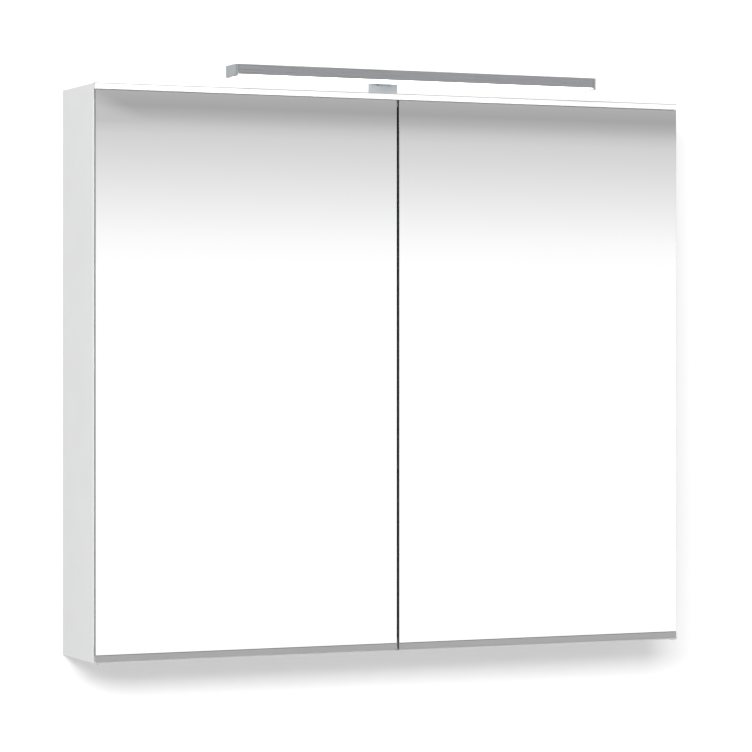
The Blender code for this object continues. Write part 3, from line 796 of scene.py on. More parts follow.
@dataclass(frozen=True)
class SoftRubber(Finish):
    """Rubber or silicone with dust in its skin.

    Attributes:
        clear: how much light it lets through.
    """

    clear: float = 0.0

    def draw(self, graph: Graph) -> None:
        """A dull skin with specks of dust.

        Args:
            graph: the nodes to draw in.
        """
        specks = (1.0, shade(self.colour, 1.6))
        skin = ((0.0, shade(self.colour, 0.85)), (0.92, self.colour))
        graph.set(
            base_color=graph.tones(graph.cells(900.0), *skin, specks),
            roughness=graph.gloss(graph.noise(240.0, 3.0), self.roughness, 0.08, 0.08),
            transmission_weight=self.clear,
        )
        graph.relief(graph.noise(1300.0, 2.0), 0.00002, 0.5)


@dataclass(frozen=True)
class CircuitBoard(Finish):
    """Solder mask over copper tracks, with dark parts standing above the board.

    Attributes:
        parts_above: the height that the parts start at, if there are any.
        parts: the parts' colour.
        copper: factor on the mask's colour over a track.
    """

    parts_above: float | None = None
    parts: Colour = (0.03, 0.03, 0.035)
    copper: float = 1.35

    def draw(self, graph: Graph) -> None:
        """Tracks show through the mask as a lighter tone.

        Args:
            graph: the nodes to draw in.
        """
        tracks = graph.maths("LESS_THAN", graph.cells(210.0, (1.0, 1.7, 1.0), edges=True), 0.10)
        mask = graph.mix(tracks, self.colour, shade(self.colour, self.copper))
        if self.parts_above is not None:
            tall = graph.maths("GREATER_THAN", graph.along(Axis.Z), self.parts_above)
            mask = graph.mix(tall, mask, self.parts)
        graph.set(
            base_color=mask,
            roughness=graph.gloss(graph.noise(90.0, 3.0), self.roughness, 0.06, 0.08),
        )
        graph.relief(tracks, 0.00003, 0.5)


# ---------------------------------------------------------------- mesh building
def into_object(name: str, shape: bmesh.types.BMesh, smooth: float = 35.0) -> bpy.types.Object:
    """Turns a bmesh into an object, smooth up to an angle.

    Args:
        name: the object's name.
        shape: the bmesh, which is freed.
        smooth: faces that meet at less than this many degrees shade as one.

    Returns:
        The new object, at the frame's origin.
    """
    bmesh.ops.recalc_face_normals(shape, faces=shape.faces)
    mesh = bpy.data.meshes.new(name)
    shape.to_mesh(mesh)
    shape.free()
    mesh.shade_smooth()
    mesh.set_sharp_from_angle(angle=math.radians(smooth))
    made = bpy.data.objects.new(name, mesh)
    bpy.context.scene.collection.objects.link(made)
    return made


def add_block(
    shape: bmesh.types.BMesh, low: Point, high: Point, edge: float = 0.0003, segments: int = 2
) -> None:
    """Adds a block with rounded edges to a bmesh.

    Args:
        shape: the bmesh.
        low: lowest corner.
        high: highest corner.
        edge: rounding of its edges.
        segments: steps in the rounding.
    """
    low, high = Vector(low), Vector(high)
    size = high - low
    place = Matrix.Translation((low + high) / 2) @ Matrix.Diagonal((*size, 1.0))
    verts = bmesh.ops.create_cube(shape, size=1.0, matrix=place)["verts"]
    edges = list({e for v in verts for e in v.link_edges})
    bmesh.ops.bevel(
        shape,
        geom=edges,
        offset=edge,
        segments=segments,
        profile=0.5,
        affect="EDGES",
        clamp_overlap=True,
    )


def circle(radius: float) -> Outline:
    """The outline of a circle."""
    return lambda angle: radius


def cross(arm: float, half: float) -> Outline:
    """The outline of a cross-shaped recess.

    Args:
        arm: from its middle to the end of an arm.
        half: half of an arm's width.

    Returns:
        The radius at an angle.
    """

    def radius(angle: float) -> float:
        """The cross's radius at an angle."""
        off = abs((angle + math.pi / 4) % (math.pi / 2) - math.pi / 4)
        return min(arm / math.cos(off), half / max(math.sin(off), 1e-6))

    return radius


@dataclass(frozen=True)
class Bar:
    """Round stock to turn pieces from.

    Attributes:
        start: where its axis starts.
        along: the way that it runs.
        sides: points round it.
    """

    start: Point
    along: Point
    sides: int = 32

    def turn(
        self, shape: bmesh.types.BMesh, rings: Sequence[Ring], hollow: bool = False
    ) -> None:
        """Adds a turned solid to a bmesh.

        Args:
            shape: the bmesh.
            rings: a distance along the bar and an outline for each ring, in order.
            hollow: whether the last ring joins the first, for a piece with a hole through it.
        """
        way = Vector(self.along).normalized()
        turn = way.to_track_quat("Z", "Y").to_matrix().to_4x4()
        place = Matrix.Translation(self.start) @ turn
        loops = []
        for height, outline in rings:
            loop = []
            for i in range(self.sides):
                angle = 2.0 * math.pi * i / self.sides
                r = outline(angle)
                at = Vector((r * math.cos(angle), r * math.sin(angle), height))
                loop.append(shape.verts.new(place @ at))
            loops.append(loop)
        pairs = list(zip(loops, loops[1:]))
        if hollow:
            pairs.append((loops[-1], loops[0]))
        for a, b in pairs:
            for i in range(self.sides):
                j = (i + 1) % self.sides
                shape.faces.new((a[i], a[j], b[j], b[i]))
        if not hollow:
            for loop, height in ((loops[0], rings[0][0]), (loops[-1], rings[-1][0])):
                centre = shape.verts.new(place @ Vector((0.0, 0.0, height)))
                for i in range(self.sides):
                    shape.faces.new((loop[i], loop[(i + 1) % self.sides], centre))

    def round_piece(self, name: str, profile: Profile, hollow: bool = False) -> bpy.types.Object:
        """A turned piece of its own.

        Args:
            name: its name.
            profile: (distance along, radius) pairs.
            hollow: whether the profile closes on itself round a hole.

        Returns:
            The piece.
        """
        shape = bmesh.new()
        self.turn(shape, [(height, circle(radius)) for height, radius in profile], hollow)
        return into_object(name, shape)


@dataclass(frozen=True)
class Screw:
    """A cross-headed screw with a rolled thread, made to measure for a CAD screw.

    Attributes:
        shank: radius over the thread.
        head_thick: height of the head.
        looks: the way that its head looks.
        pitch: of the thread.
        domed: whether the head is a dome and not a flat disc.
    """

    shank: float
    head_thick: float
    looks: Facing
    pitch: float = 0.0011
    domed: bool = True

    def thread(self, end: float) -> list[Ring]:
        """The rings of a helical thread, with a pointed tip.

        Args:
            end: the distance from the tip to the head.

        Returns:
            The rings, from the tip up.
        """
        depth = self.shank * 0.16
        steps = max(8, int(end / self.pitch * 4))
        rings = []
        for i in range(steps + 1):
            height = end * i / steps
            taper = min(1.0, 0.25 + 0.75 * height / (1.6 * self.shank))

            def radius(angle: float, height: float = height, taper: float = taper) -> float:
                """The thread's radius at an angle."""
                turn = (height / self.pitch - angle / (2.0 * math.pi)) % 1.0
                return taper * (self.shank - depth * (1.0 - abs(2.0 * turn - 1.0)))

            rings.append((height, radius))
        return rings

    def head(self, base: float, r: float) -> list[Ring]:
        """The rings of the head and of the recess in its top.

        Args:
            base: the distance from the tip to the head.
            r: the head's radius.

        Returns:
            The rings, from its underside into the recess.
        """
        thick = self.head_thick
        flat = [(0.0, 0.97), (0.15, 1.0), (0.80, 1.0), (1.0, 0.95)]
        dome = [(0.0, 0.97), (0.10, 1.0), (0.35, 0.985), (0.65, 0.90), (0.86, 0.76), (0.96, 0.62)]
        rim = dome if self.domed else flat
        rings = [(base + part * thick, circle(r * share)) for part, share in rim]
        arm, half = r * 0.50, r * 0.15
        rings.append((base + thick, cross(arm, half)))
        rings.append((base + thick * 0.45, cross(arm * 0.82, half * 0.85)))
        rings.append((base + thick * 0.35, cross(arm * 0.25, half * 0.7)))
        return rings

    def replace(self, node: str, name: str, finish: Finish) -> None:
        """Makes the screw as long, and its head as wide, as a CAD screw's, in that one's place.

        Args:
            node: the CAD node.
            name: the new piece's name.
            finish: its finish.
        """
        low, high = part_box(node)
        axis, sign = self.looks.value
        tip = middle(node)
        tip[axis.value] = (low if sign > 0.0 else high)[axis.value]
        neck = high[axis.value] - low[axis.value] - self.head_thick
        rings = self.thread(neck) + self.head(neck, (high.x - low.x) / 2)
        shape = bmesh.new()
        Bar(tip, self.looks.way, 48).turn(shape, rings)
        place(into_object(name, shape, 40.0), Body.CABINET, finish, node, [node])


# ---------------------------------------------------------------- dressing and placing
def dress(finish: Finish, *nodes: str) -> None:
    """Gives CAD nodes a finish in place of their plain material.

    Args:
        finish: the finish.
        nodes: the nodes' names.
    """
    for name in nodes:
        for slot in frame["nodes"][name].material_slots:
            slot.material = finish.material()
        LOG.info("%s: %s", name, finish.name)


def place(
    piece: bpy.types.Object, body: Body, finish: Finish, slot: str, stands_for: Sequence[str] = ()
) -> None:
    """Finishes a new piece and makes it ride on its body.

    Args:
        piece: the new piece.
        body: what it rides on.
        finish: its finish.
        slot: not used.
        stands_for: the CAD nodes that it replaces.
    """
    piece.data.materials.clear()
    piece.data.materials.append(finish.material())
    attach(piece, body.value)
    if stands_for:
        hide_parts(*stands_for)
    instead = "replaces " + " ".join(stands_for) if stands_for else "added"
    LOG.info("%s: %s, rides on %s, %s", piece.name, finish.name, body.value, instead)


def middle(node: str) -> Vector:
    """The middle of a CAD node's box."""
    low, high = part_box(node)
    return (low + high) / 2


@dataclass(frozen=True)
class Finishes:
    """The finishes that the sub-assemblies share.

    Attributes:
        white: colour of the cabinet's foil and lacquer.
        zinc: for plates, lugs and screws.
        nickel: for pins, strikes and poles.
        chrome: for the lamp's arm.
        light_plastic: for the driver box, catches and caps.
        dark_plastic: for the switch's cradle and frame, and the magnets.
        black_rubber: for the grommet.
        clear_silicone: for the bumpers.
    """

    white: Colour = (0.725, 0.728, 0.730)
    zinc: Plated = Plated("zinc_plate", (0.60, 0.61, 0.62), 0.32)
    nickel: Plated = Plated("nickel_plate", (0.66, 0.64, 0.61), 0.20, 900.0, 0.03)
    chrome: Plated = Plated("polished_chrome", (0.80, 0.81, 0.82), 0.08, 1200.0, 0.01)
    light_plastic: Moulded = Moulded("light_plastic", (0.70, 0.71, 0.71), 0.45)
    dark_plastic: Moulded = Moulded("dark_plastic", (0.035, 0.035, 0.037), 0.38)
    black_rubber: SoftRubber = SoftRubber("black_rubber", (0.028, 0.028, 0.028), 0.75)
    clear_silicone: SoftRubber = SoftRubber("clear_silicone", (0.78, 0.80, 0.80), 0.35, 0.6)


# ---------------------------------------------------------------- carcass
@dataclass
class Carcass:
    """The four boards, the back panel and the caps over the case fixings.

    Attributes:
        finishes: the shared finishes.
        cap_radius: radius of a fixing's cap.
        cap_rise: how far a cap stands above its board.
        cap_from_side: from the inner face of a side to a cap's middle.
        cap_from_front: front and rear caps behind the boards' front edge.
    """

    finishes: Finishes
    cap_radius: float = 0.0085
    cap_rise: float = 0.0011
    cap_from_side: float = 0.034
    cap_from_front: tuple[float, float] = (0.022, 0.078)

    def build(self) -> None:
        """Dresses the boards and sets the caps."""
        white = self.finishes.white
        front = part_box("side_panel_left")[0].y
        side = FoilBoard("foil_side_board", white, 0.34, raw=(Facing.REAR,), band_at=front)
        dress(side, "side_panel_left", "side_panel_right")
        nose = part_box("top_panel")[1].z
        # The top board's front face is painted paler, as painted light from the lamp.
        top = FoilBoard("foil_top_board", white, 0.34, raw=(Facing.REAR,), nose_line=nose)
        dress(top, "top_panel")
        dress(FoilBoard("foil_bottom_board", white, 0.34, raw=(Facing.REAR,)), "bottom_panel")
        dress(Hardboard("hardboard_back", white, 0.42), "back_panel")
        rails = FoilBoard("foil_batten", white, 0.36, raw=(Facing.UP, Facing.DOWN))
        dress(rails, "hanging_rail", "lower_rail")
        self.caps()

    def caps(self) -> None:
        """Eight plastic caps over the cam fixings in the top and bottom boards."""
        inner = -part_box("side_panel_left")[1].x - self.cap_from_side
        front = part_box("bottom_panel")[0].y
        r, rise = self.cap_radius, self.cap_rise
        rim = [(0.0, r * 0.90), (rise * 0.2, r), (rise * 0.55, r * 0.985), (rise * 0.85, r * 0.93)]
        dish = [(rise, r * 0.84), (rise * 0.92, r * 0.30), (rise * 0.75, r * 0.12)]
        boards = (
            ("bottom_panel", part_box("bottom_panel")[1].z, Facing.UP),
            ("top_panel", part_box("back_panel")[1].z, Facing.DOWN),
        )
        for board, z, facing in boards:
            for side in Side:
                for row, behind in zip(("front", "rear"), self.cap_from_front):
                    name = f"cam_cap_{board.split('_')[0]}_{side.label}_{row}"
                    stock = Bar((side.value * inner, front + behind, z), facing.way, 40)
                    cap = stock.round_piece(name, rim + dish)
                    place(cap, Body.CABINET, self.finishes.light_plastic, board)


# ---------------------------------------------------------------- wall fixing
@dataclass
class WallFixing:
    """The keyhole plates on the hanging rail, and the screws that hold them.

    Attributes:
        finishes: the shared finishes.
    """

    finishes: Finishes

    def build(self) -> None:
        """Dresses the plates and replaces their screws."""
        dress(self.finishes.zinc, "hanger_plate_left", "hanger_plate_right")
        screw = Screw(0.0020, 0.0006, Facing.REAR, domed=False)
        for side in Side:
            for tag in "ab":
                node = f"hanger_screw_{side.label}_{tag}"
                screw.replace(node, node + "_cross", self.finishes.zinc)


# ---------------------------------------------------------------- shelves
@dataclass
class ShelfSet:
    """Two glass shelves and the eight turned supports under them.

    Attributes:
        finishes: the shared finishes.
        pin: radius of a support's pin.
        collar: how far its collar stands out from the pin.
        collar_gap: from the side board to the collar.
    """

    finishes: Finishes
    pin: float = 0.0025
    collar: float = 0.0013
    collar_gap: float = 0.0003

    def build(self) -> None:
        """Dresses the shelves and turns the supports."""
        glass = ShelfGlass("shelf_glass", (0.975, 0.992, 0.985), 0.0)
        dress(glass, "glass_shelf_lower", "glass_shelf_upper")
        for side in Side:
            for level in ("lower", "upper"):
                for row in ("front", "back"):
                    self.support(side, f"shelf_support_{side.label}_{level}_{row}")

    def support(self, side: Side, node: str) -> None:
        """Turns one support: a pin with a collar against the side and a rounded end.

        Args:
            side: the side that it stands in.
            node: the CAD node that it replaces.
        """
        low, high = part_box(node)
        length = high.x - low.x
        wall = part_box(f"side_panel_{side.label}")[1 if side is Side.LEFT else 0].x
        root = low.x if side is Side.LEFT else high.x
        seat = abs(wall - root)
        r, c = self.pin, self.pin + self.collar
        base = seat + self.collar_gap
        sunk = [(0.0, r * 0.80), (0.0006, r)]
        groove = [(0.35, r), (0.36, r * 0.93), (0.42, r * 0.93), (0.43, r)]
        sunk += [(seat * share, radius) for share, radius in groove]
        collar = [(0.0, r), (0.0, c * 0.93), (0.0002, c), (0.0007, c), (0.0009, c * 0.93)]
        collar = [(base + along, radius) for along, radius in (*collar, (0.0010, r))]
        tip = [(0.0012, r), (0.0006, r * 0.92), (0.0002, r * 0.75), (0.0, r * 0.45)]
        tip = [(length - along, radius) for along, radius in tip]
        stock = Bar((root, middle(node).y, high.z - r), (-side.value, 0.0, 0.0), 32)
        piece = stock.round_piece(node + "_turned", sunk + collar + tip)
        place(piece, Body.CABINET, self.finishes.nickel, node, [node])


# ---------------------------------------------------------------- doors
@dataclass
class MirrorDoor:
    """One door: two mirrors back to back, a top rail, the grip profile, a strike and a bumper.

    Attributes:
        side: the side that it hangs on.
        finishes: the shared finishes.
        grip: the tone of its aluminium.
        lip: height of the painted highlight along the edge that the fingers catch.
    """

    side: Side
    finishes: Finishes
    lip: float = 0.0024
    grip: Colour = (0.40, 0.40, 0.40)

    def build(self) -> None:
        """Dresses the door and replaces its strike plate and bumper."""
        name = self.side.label
        mirror = SilveredGlass("silvered_glass", (0.955, 0.957, 0.957), 0.0)
        dress(mirror, f"front_mirror_{name}", f"rear_mirror_{name}")
        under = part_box(f"grip_profile_{name}")[0].z
        lip = (under, under + self.lip)
        # The grip's lip gets a painted highlight: a lighter band of colour.
        profile = Anodised("anodised_profile", self.grip, 0.36, polished=lip)
        dress(profile, f"door_top_rail_{name}", f"grip_profile_{name}")
        self.strike(f"strike_plate_{name}")
        self.bumper(f"door_bumper_{name}")

    def strike(self, node: str) -> None:
        """A pressed disc with a shallow dish that meets the catch.

        Args:
            node: the CAD node that it replaces.
        """
        low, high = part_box(node)
        r, thick = (high.x - low.x) / 2, high.y - low.y
        rim = [(0.0, 0.97), (0.25, 1.0), (0.75, 1.0), (0.95, 0.97), (1.0, 0.93)]
        dish = [(1.0, 0.55), (0.72, 0.48), (0.70, 0.10)]
        profile = [(thick * part, r * share) for part, share in rim + dish]
        self.stand_on_rear(node, "_dished", profile, 48, self.finishes.nickel)

    def bumper(self, node: str) -> None:
        """A clear silicone dome that closes against the side board.

        Args:
            node: the CAD node that it replaces.
        """
        low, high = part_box(node)
        r, thick = (high.x - low.x) / 2, high.y - low.y
        angles = (0.35, 0.7, 1.0, 1.25, 1.42)
        dome = [(thick * math.sin(a), r * math.cos(a) ** 0.6) for a in angles]
        profile = [(0.0, r * 0.98), *dome, (thick, r * 0.12)]
        self.stand_on_rear(node, "_dome", profile, 36, self.finishes.clear_silicone)

    def stand_on_rear(
        self, node: str, suffix: str, profile: Profile, sides: int, finish: Finish
    ) -> None:
        """Turns a round piece that stands on the rear mirror, in a CAD node's place.

        Args:
            node: the CAD node.
            suffix: what the piece's name adds to the node's.
            profile: (distance from the mirror, radius) pairs.
            sides: points round it.
            finish: its finish.
        """
        at = middle(node)
        stock = Bar((at.x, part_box(node)[0].y, at.z), Facing.REAR.way, sides)
        place(stock.round_piece(node + suffix, profile), Body.door(self.side), finish, node, [node])


@dataclass
class DoorFittings:
    """The pivots that carry the doors, and the magnetic catches that hold them shut.

    Attributes:
        finishes: the shared finishes.
        slot_inset: from a catch's edges to the opening in its front.
        slot_high: height of the opening.
        pole_thick: thickness of the steel pole plates in the opening.
        pole_deep: how far the poles reach into the catch.
        pole_proud: how far the poles stand out of the catch.
        magnet_inset: how far the magnet's ends and front stand back from the poles'.
        magnet_gap: between the magnet and a pole.
    """

    finishes: Finishes
    slot_inset: float = 0.0035
    slot_high: float = 0.0125
    pole_thick: float = 0.0016
    pole_deep: float = 0.004
    pole_proud: float = 0.0004
    magnet_inset: tuple[float, float] = (0.0006, 0.0003)
    magnet_gap: float = 0.0001

    def build(self) -> None:
        """Dresses the pivots, replaces the lugs' screws and fits the magnets."""
        screw = Screw(0.0020, 0.0016, Facing.DOWN)
        for side in Side:
            name = side.label
            dress(self.finishes.nickel, f"top_pivot_pin_{name}")
            dress(self.finishes.zinc, f"bottom_pivot_lug_{name}")
            dress(self.finishes.light_plastic, f"magnet_catch_{name}")
            for tag in "ab":
                node = f"lug_screw_{name}_{tag}"
                screw.replace(node, node + "_pan", self.finishes.zinc)
            self.magnet(f"magnet_catch_{name}", name)

    def magnet(self, node: str, name: str) -> None:
        """Two steel pole plates above and below a dark magnet, in the catch's front.

        Args:
            node: the catch's CAD node.
            name: the side's word for the new pieces' names.
        """
        low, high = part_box(node)
        y0, y1 = low.y - self.pole_proud, low.y + self.pole_deep
        x0, x1 = low.x + self.slot_inset, high.x - self.slot_inset
        z0, z1 = low.z + self.slot_inset, low.z + self.slot_high
        poles = bmesh.new()
        for a, b in ((z0, z0 + self.pole_thick), (z1 - self.pole_thick, z1)):
            add_block(poles, (x0, y0, a), (x1, y1, b))
        piece = into_object(f"catch_poles_{name}", poles)
        place(piece, Body.CABINET, self.finishes.nickel, node)
        core = bmesh.new()
        end, back = self.magnet_inset
        step = self.pole_thick + self.magnet_gap
        add_block(core, (x0 + end, y0 + back, z0 + step), (x1 - end, y1, z1 - step), 0.0002)
        piece = into_object(f"catch_magnet_{name}", core)
        place(piece, Body.CABINET, self.finishes.dark_plastic, node)


# ---------------------------------------------------------------- lamp
@dataclass
class Lamp:
    """The light bar on its foot and arm.

    Attributes:
        finishes: the shared finishes.
        bar: tone of the bar's aluminium.
        cap: tone of its end caps.
        foot: tone of the foot.
        chips: how many light-emitting chips sit on the board.
        chip: length, width and height of a chip.
    """

    finishes: Finishes
    bar: Colour = (0.392, 0.400, 0.416)
    cap: Colour = (0.400, 0.423, 0.437)
    foot: Colour = (0.500, 0.536, 0.556)
    chips: int = 40
    chip: tuple[float, float, float] = (0.0035, 0.0028, 0.0008)

    def build(self) -> None:
        """Dresses the lamp, fills its board with chips and replaces its screws."""
        dress(Anodised("anodised_bar", self.bar, 0.30), "lamp_channel")
        caps = Anodised("anodised_cap", self.cap, 0.40, grain=Axis.Y)
        dress(caps, "lamp_end_cap_left", "lamp_end_cap_right")
        dress(Anodised("anodised_foot", self.foot, 0.34), "lamp_foot")
        dress(self.finishes.chrome, "lamp_arm")
        dress(OpalAcrylic("opal_acrylic", (0.86, 0.86, 0.84), 0.40), "lamp_diffuser")
        dress(CircuitBoard("white_circuit", (0.78, 0.78, 0.75), 0.45, copper=0.93), "led_board")
        self.light_chips()
        arm_screw = Screw(0.0015, 0.0012, Facing.REAR, 0.0006)
        for side in Side:
            node = f"arm_screw_{side.label}"
            arm_screw.replace(node, node + "_pan", self.finishes.zinc)
        foot_screw = Screw(0.0020, 0.0016, Facing.DOWN, 0.0008)
        foot_screw.replace("foot_screw", "foot_screw_pan", self.finishes.zinc)

    def light_chips(self) -> None:
        """A row of chips under the board."""
        low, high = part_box("led_board")
        long, wide, thick = self.chip
        pitch = (high.x - low.x) / self.chips
        y = (low.y + high.y) / 2
        shape = bmesh.new()
        for i in range(self.chips):
            x = low.x + pitch * (i + 0.5)
            corner = (x - long / 2, y - wide / 2, low.z - thick)
            across = (x + long / 2, y + wide / 2, low.z - CLEAR)
            add_block(shape, corner, across, 0.0002, 1)
        phosphor = Moulded("phosphor", (0.80, 0.62, 0.12), 0.40)
        place(into_object("led_chips", shape), Body.CABINET, phosphor, "led_board")


# ---------------------------------------------------------------- driver
@dataclass
class DriverUnit:
    """The driver box in the cabinet's top right corner, with its rocker switch and cable grommet.

    Attributes:
        finishes: the shared finishes.
        parts_from: from the circuit board's underside to where its parts start.
        ribs: how many louvre ribs the box has.
        rib_pitch: from rib to rib.
        rib: width and height of a rib.
        rib_start: from the box's end to the first rib.
        rib_margin: from the box's top and bottom to the ribs' ends.
        bezel: width and height of the frame round the switch.
        play: between that frame and the rocker.
        rocker: width, height, and depth behind the axle, of the rocker.
        set_back: how far the middle of the rocker's front lies behind the box's face.
        heel: how much lower the rocker is behind, at each end.
        tilt: the rocker's angle when its lower half is pressed, in degrees.
        axle: radius and overhang of its axle.
        mark_at: the marks' distance from the axle, as a share of the rocker's height.
        mark_sunk: how far a mark reaches into the rocker.
        mark_proud: how far it stands out.
        bar: half of the width and height of the mark for on.
        ring: outer and inner radius of the mark for off.
        hole: radius of the grommet's hole.
        groove: depth of the grommet's groove for the back panel.
        flange: thickness of its flanges.
    """

    finishes: Finishes
    parts_from: float = 0.0052
    ribs: int = 12
    rib_pitch: float = 0.0042
    rib: tuple[float, float] = (0.0018, 0.0007)
    rib_start: float = 0.012
    rib_margin: float = 0.006
    bezel: tuple[float, float] = (0.0022, 0.0009)
    play: float = 0.0007
    rocker: tuple[float, float, float] = (0.020, 0.013, 0.002)
    set_back: float = 0.0012
    heel: float = 0.0012
    tilt: float = 7.0
    axle: tuple[float, float] = (0.0012, 0.0022)
    mark_at: float = 0.27
    mark_sunk: float = 0.0001
    mark_proud: float = 0.00008
    bar: tuple[float, float] = (0.0003, 0.0013)
    ring: tuple[float, float] = (0.0014, 0.0009)
    hole: float = 0.0040
    groove: float = 0.0025
    flange: float = 0.0018

    def build(self) -> None:
        """Dresses the box and its board, and makes the ribs, bezel, rocker and grommet."""
        dress(self.finishes.light_plastic, "driver_box")
        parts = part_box("driver_board")[0].z + self.parts_from
        board = CircuitBoard("green_circuit", (0.02, 0.16, 0.06), 0.42, parts_above=parts)
        dress(board, "driver_board")
        dress(self.finishes.dark_plastic, "switch_cradle")
        self.louvres()
        self.switch_frame()
        self.rocker_key()
        self.cable_grommet()

    def louvres(self) -> None:
        """A row of rounded ribs down the front of the box."""
        low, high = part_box("driver_box")
        wide, proud = self.rib
        bottom, top = low.z + self.rib_margin, high.z - self.rib_margin
        shape = bmesh.new()
        for i in range(self.ribs):
            x = low.x + self.rib_start + self.rib_pitch * i
            add_block(shape, (x, low.y - proud, bottom), (x + wide, low.y + 0.0003, top))
        piece = into_object("driver_ribs", shape)
        place(piece, Body.CABINET, self.finishes.light_plastic, "driver_box")

    def switch_frame(self) -> None:
        """A raised dark frame round the rocker's opening."""
        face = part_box("driver_box")[0].y
        at = self.axis()
        wide, high, _ = self.rocker
        band, proud = self.bezel
        x, z = wide / 2 + self.play, high / 2 + self.play
        shape = bmesh.new()
        bars = (
            ((-x - band, z), (x + band, z + band)),
            ((-x - band, -z - band), (x + band, -z)),
            ((-x - band, -z), (-x, z)),
            ((x, -z), (x + band, z)),
        )
        for (x0, z0), (x1, z1) in bars:
            corner = (at.x + x0, face - proud, at.z + z0)
            add_block(shape, corner, (at.x + x1, face - CLEAR, at.z + z1))
        piece = into_object("switch_bezel", shape)
        place(piece, Body.CABINET, self.finishes.dark_plastic, "switch_cradle")

    def axis(self) -> Vector:
        """Where the rocker's axle is, from the record's joint."""
        joint = next(j for j in frame["joints"] if j["child"] == Body.ROCKER.value)
        return Vector(joint["pos_m"])

    def rocker_key(self) -> None:
        """The rocker: a dished key with rounded edges on its axle, its lower half pressed."""
        at = self.axis()
        wide, high, rear = self.rocker
        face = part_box("driver_box")[0].y - at.y - self.set_back
        bow = high / 2 * math.tan(math.radians(self.tilt))
        steps = 16
        heights = [high * (i / steps - 0.5) for i in range(steps + 1)]
        rows = [(face - bow * (2.0 * z / high) ** 2, z) for z in heights]
        rows += [(rear, high / 2 - self.heel), (rear, -high / 2 + self.heel)]
        shape = bmesh.new()
        ends = [[shape.verts.new((x, y, z)) for y, z in rows] for x in (-wide / 2, wide / 2)]
        shape.faces.new(ends[0])
        shape.faces.new(ends[1][::-1])
        count = len(rows)
        for i in range(count):
            j = (i + 1) % count
            shape.faces.new((ends[0][i], ends[1][i], ends[1][j], ends[0][j]))
        bmesh.ops.recalc_face_normals(shape, faces=shape.faces)
        sharp = [e for e in shape.edges if e.calc_face_angle(0.0) > math.radians(30.0)]
        bmesh.ops.bevel(shape, geom=sharp, offset=0.0004, segments=2, profile=0.5, affect="EDGES")
        self.add_axle(shape, wide / 2)
        set_down = Matrix.Translation(at) @ Matrix.Rotation(math.radians(self.tilt), 4, "X")
        bmesh.ops.transform(shape, matrix=set_down, verts=shape.verts)
        glossy = Moulded("rocker_plastic", (0.030, 0.030, 0.032), 0.26, depth=0.000006)
        piece = into_object("rocker_key", shape, 25.0)
        place(piece, Body.ROCKER, glossy, "switch_rocker", ["switch_rocker"])
        self.marks(set_down, face, bow, high)

    def add_axle(self, shape: bmesh.types.BMesh, half: float) -> None:
        """Adds the axle's two stubs to the rocker.

        Args:
            shape: the rocker's bmesh, in its own axes.
            half: half of the rocker's width.
        """
        r, out = self.axle
        sunk = 0.0004
        reach = out + sunk
        rings = [(0.0, circle(r)), (reach - 0.0003, circle(r)), (reach, circle(r * 0.75))]
        for sign in (-1.0, 1.0):
            stock = Bar((sign * (half - sunk), 0.0, 0.0), (sign, 0.0, 0.0), 24)
            stock.turn(shape, rings)

    def marks(self, set_down: Matrix, face: float, bow: float, high: float) -> None:
        """The usual bar and ring for on and off, printed on the rocker's two halves.

        Args:
            set_down: from the rocker's own axes to the frame's.
            face: the rocker's front at its middle.
            bow: how much further out its ends are.
            high: the rocker's height.
        """
        z = high * self.mark_at
        front = face - bow * (2.0 * z / high) ** 2
        lean = math.atan(8.0 * bow * z / high**2)
        sunk, up = self.mark_sunk, self.mark_proud
        half, tall = self.bar
        bar = bmesh.new()
        add_block(bar, (-half, -up, -tall), (half, sunk, tall), 0.00002, 1)
        outer, inner = (circle(radius) for radius in self.ring)
        rings = [(-sunk, outer), (up, outer), (up, inner), (-sunk, inner)]
        ring = bmesh.new()
        Bar((0.0, 0.0, 0.0), Facing.FRONT.way, 32).turn(ring, rings, hollow=True)
        white = Moulded("printed_white", (0.75, 0.75, 0.73), 0.5)
        for mark, sign, name in ((bar, 1.0, "on"), (ring, -1.0, "off")):
            leant = Matrix.Rotation(sign * lean, 4, "X")
            on_face = Matrix.Translation((0.0, front, sign * z)) @ leant
            bmesh.ops.transform(mark, matrix=set_down @ on_face, verts=mark.verts)
            piece = into_object(f"rocker_mark_{name}", mark)
            place(piece, Body.ROCKER, white, "switch_rocker")

    def cable_grommet(self) -> None:
        """A moulded ring with rounded flanges on both sides of the back panel."""
        node = "cable_grommet"
        low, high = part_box(node)
        at = middle(node)
        out, deep, hole = (high.x - low.x) / 2, high.y - low.y, self.hole
        lip = [(0.0004, hole + 0.0006), (0.0, hole + 0.0014), (0.0, out - 0.0008)]
        rim = [(0.0003, out - 0.0002), (0.0009, out), (self.flange, out - 0.0003)]
        near = [*lip, *rim, (self.flange, out - self.groove)]
        far = [(deep - along, radius) for along, radius in reversed(near)]
        profile = [*near, *far, (deep - 0.0012, hole), (0.0012, hole)]
        stock = Bar((at.x, low.y, at.z), Facing.REAR.way, 40)
        piece = stock.round_piece("cable_grommet_moulded", profile, hollow=True)
        place(piece, Body.CABINET, self.finishes.black_rubber, node, [node])


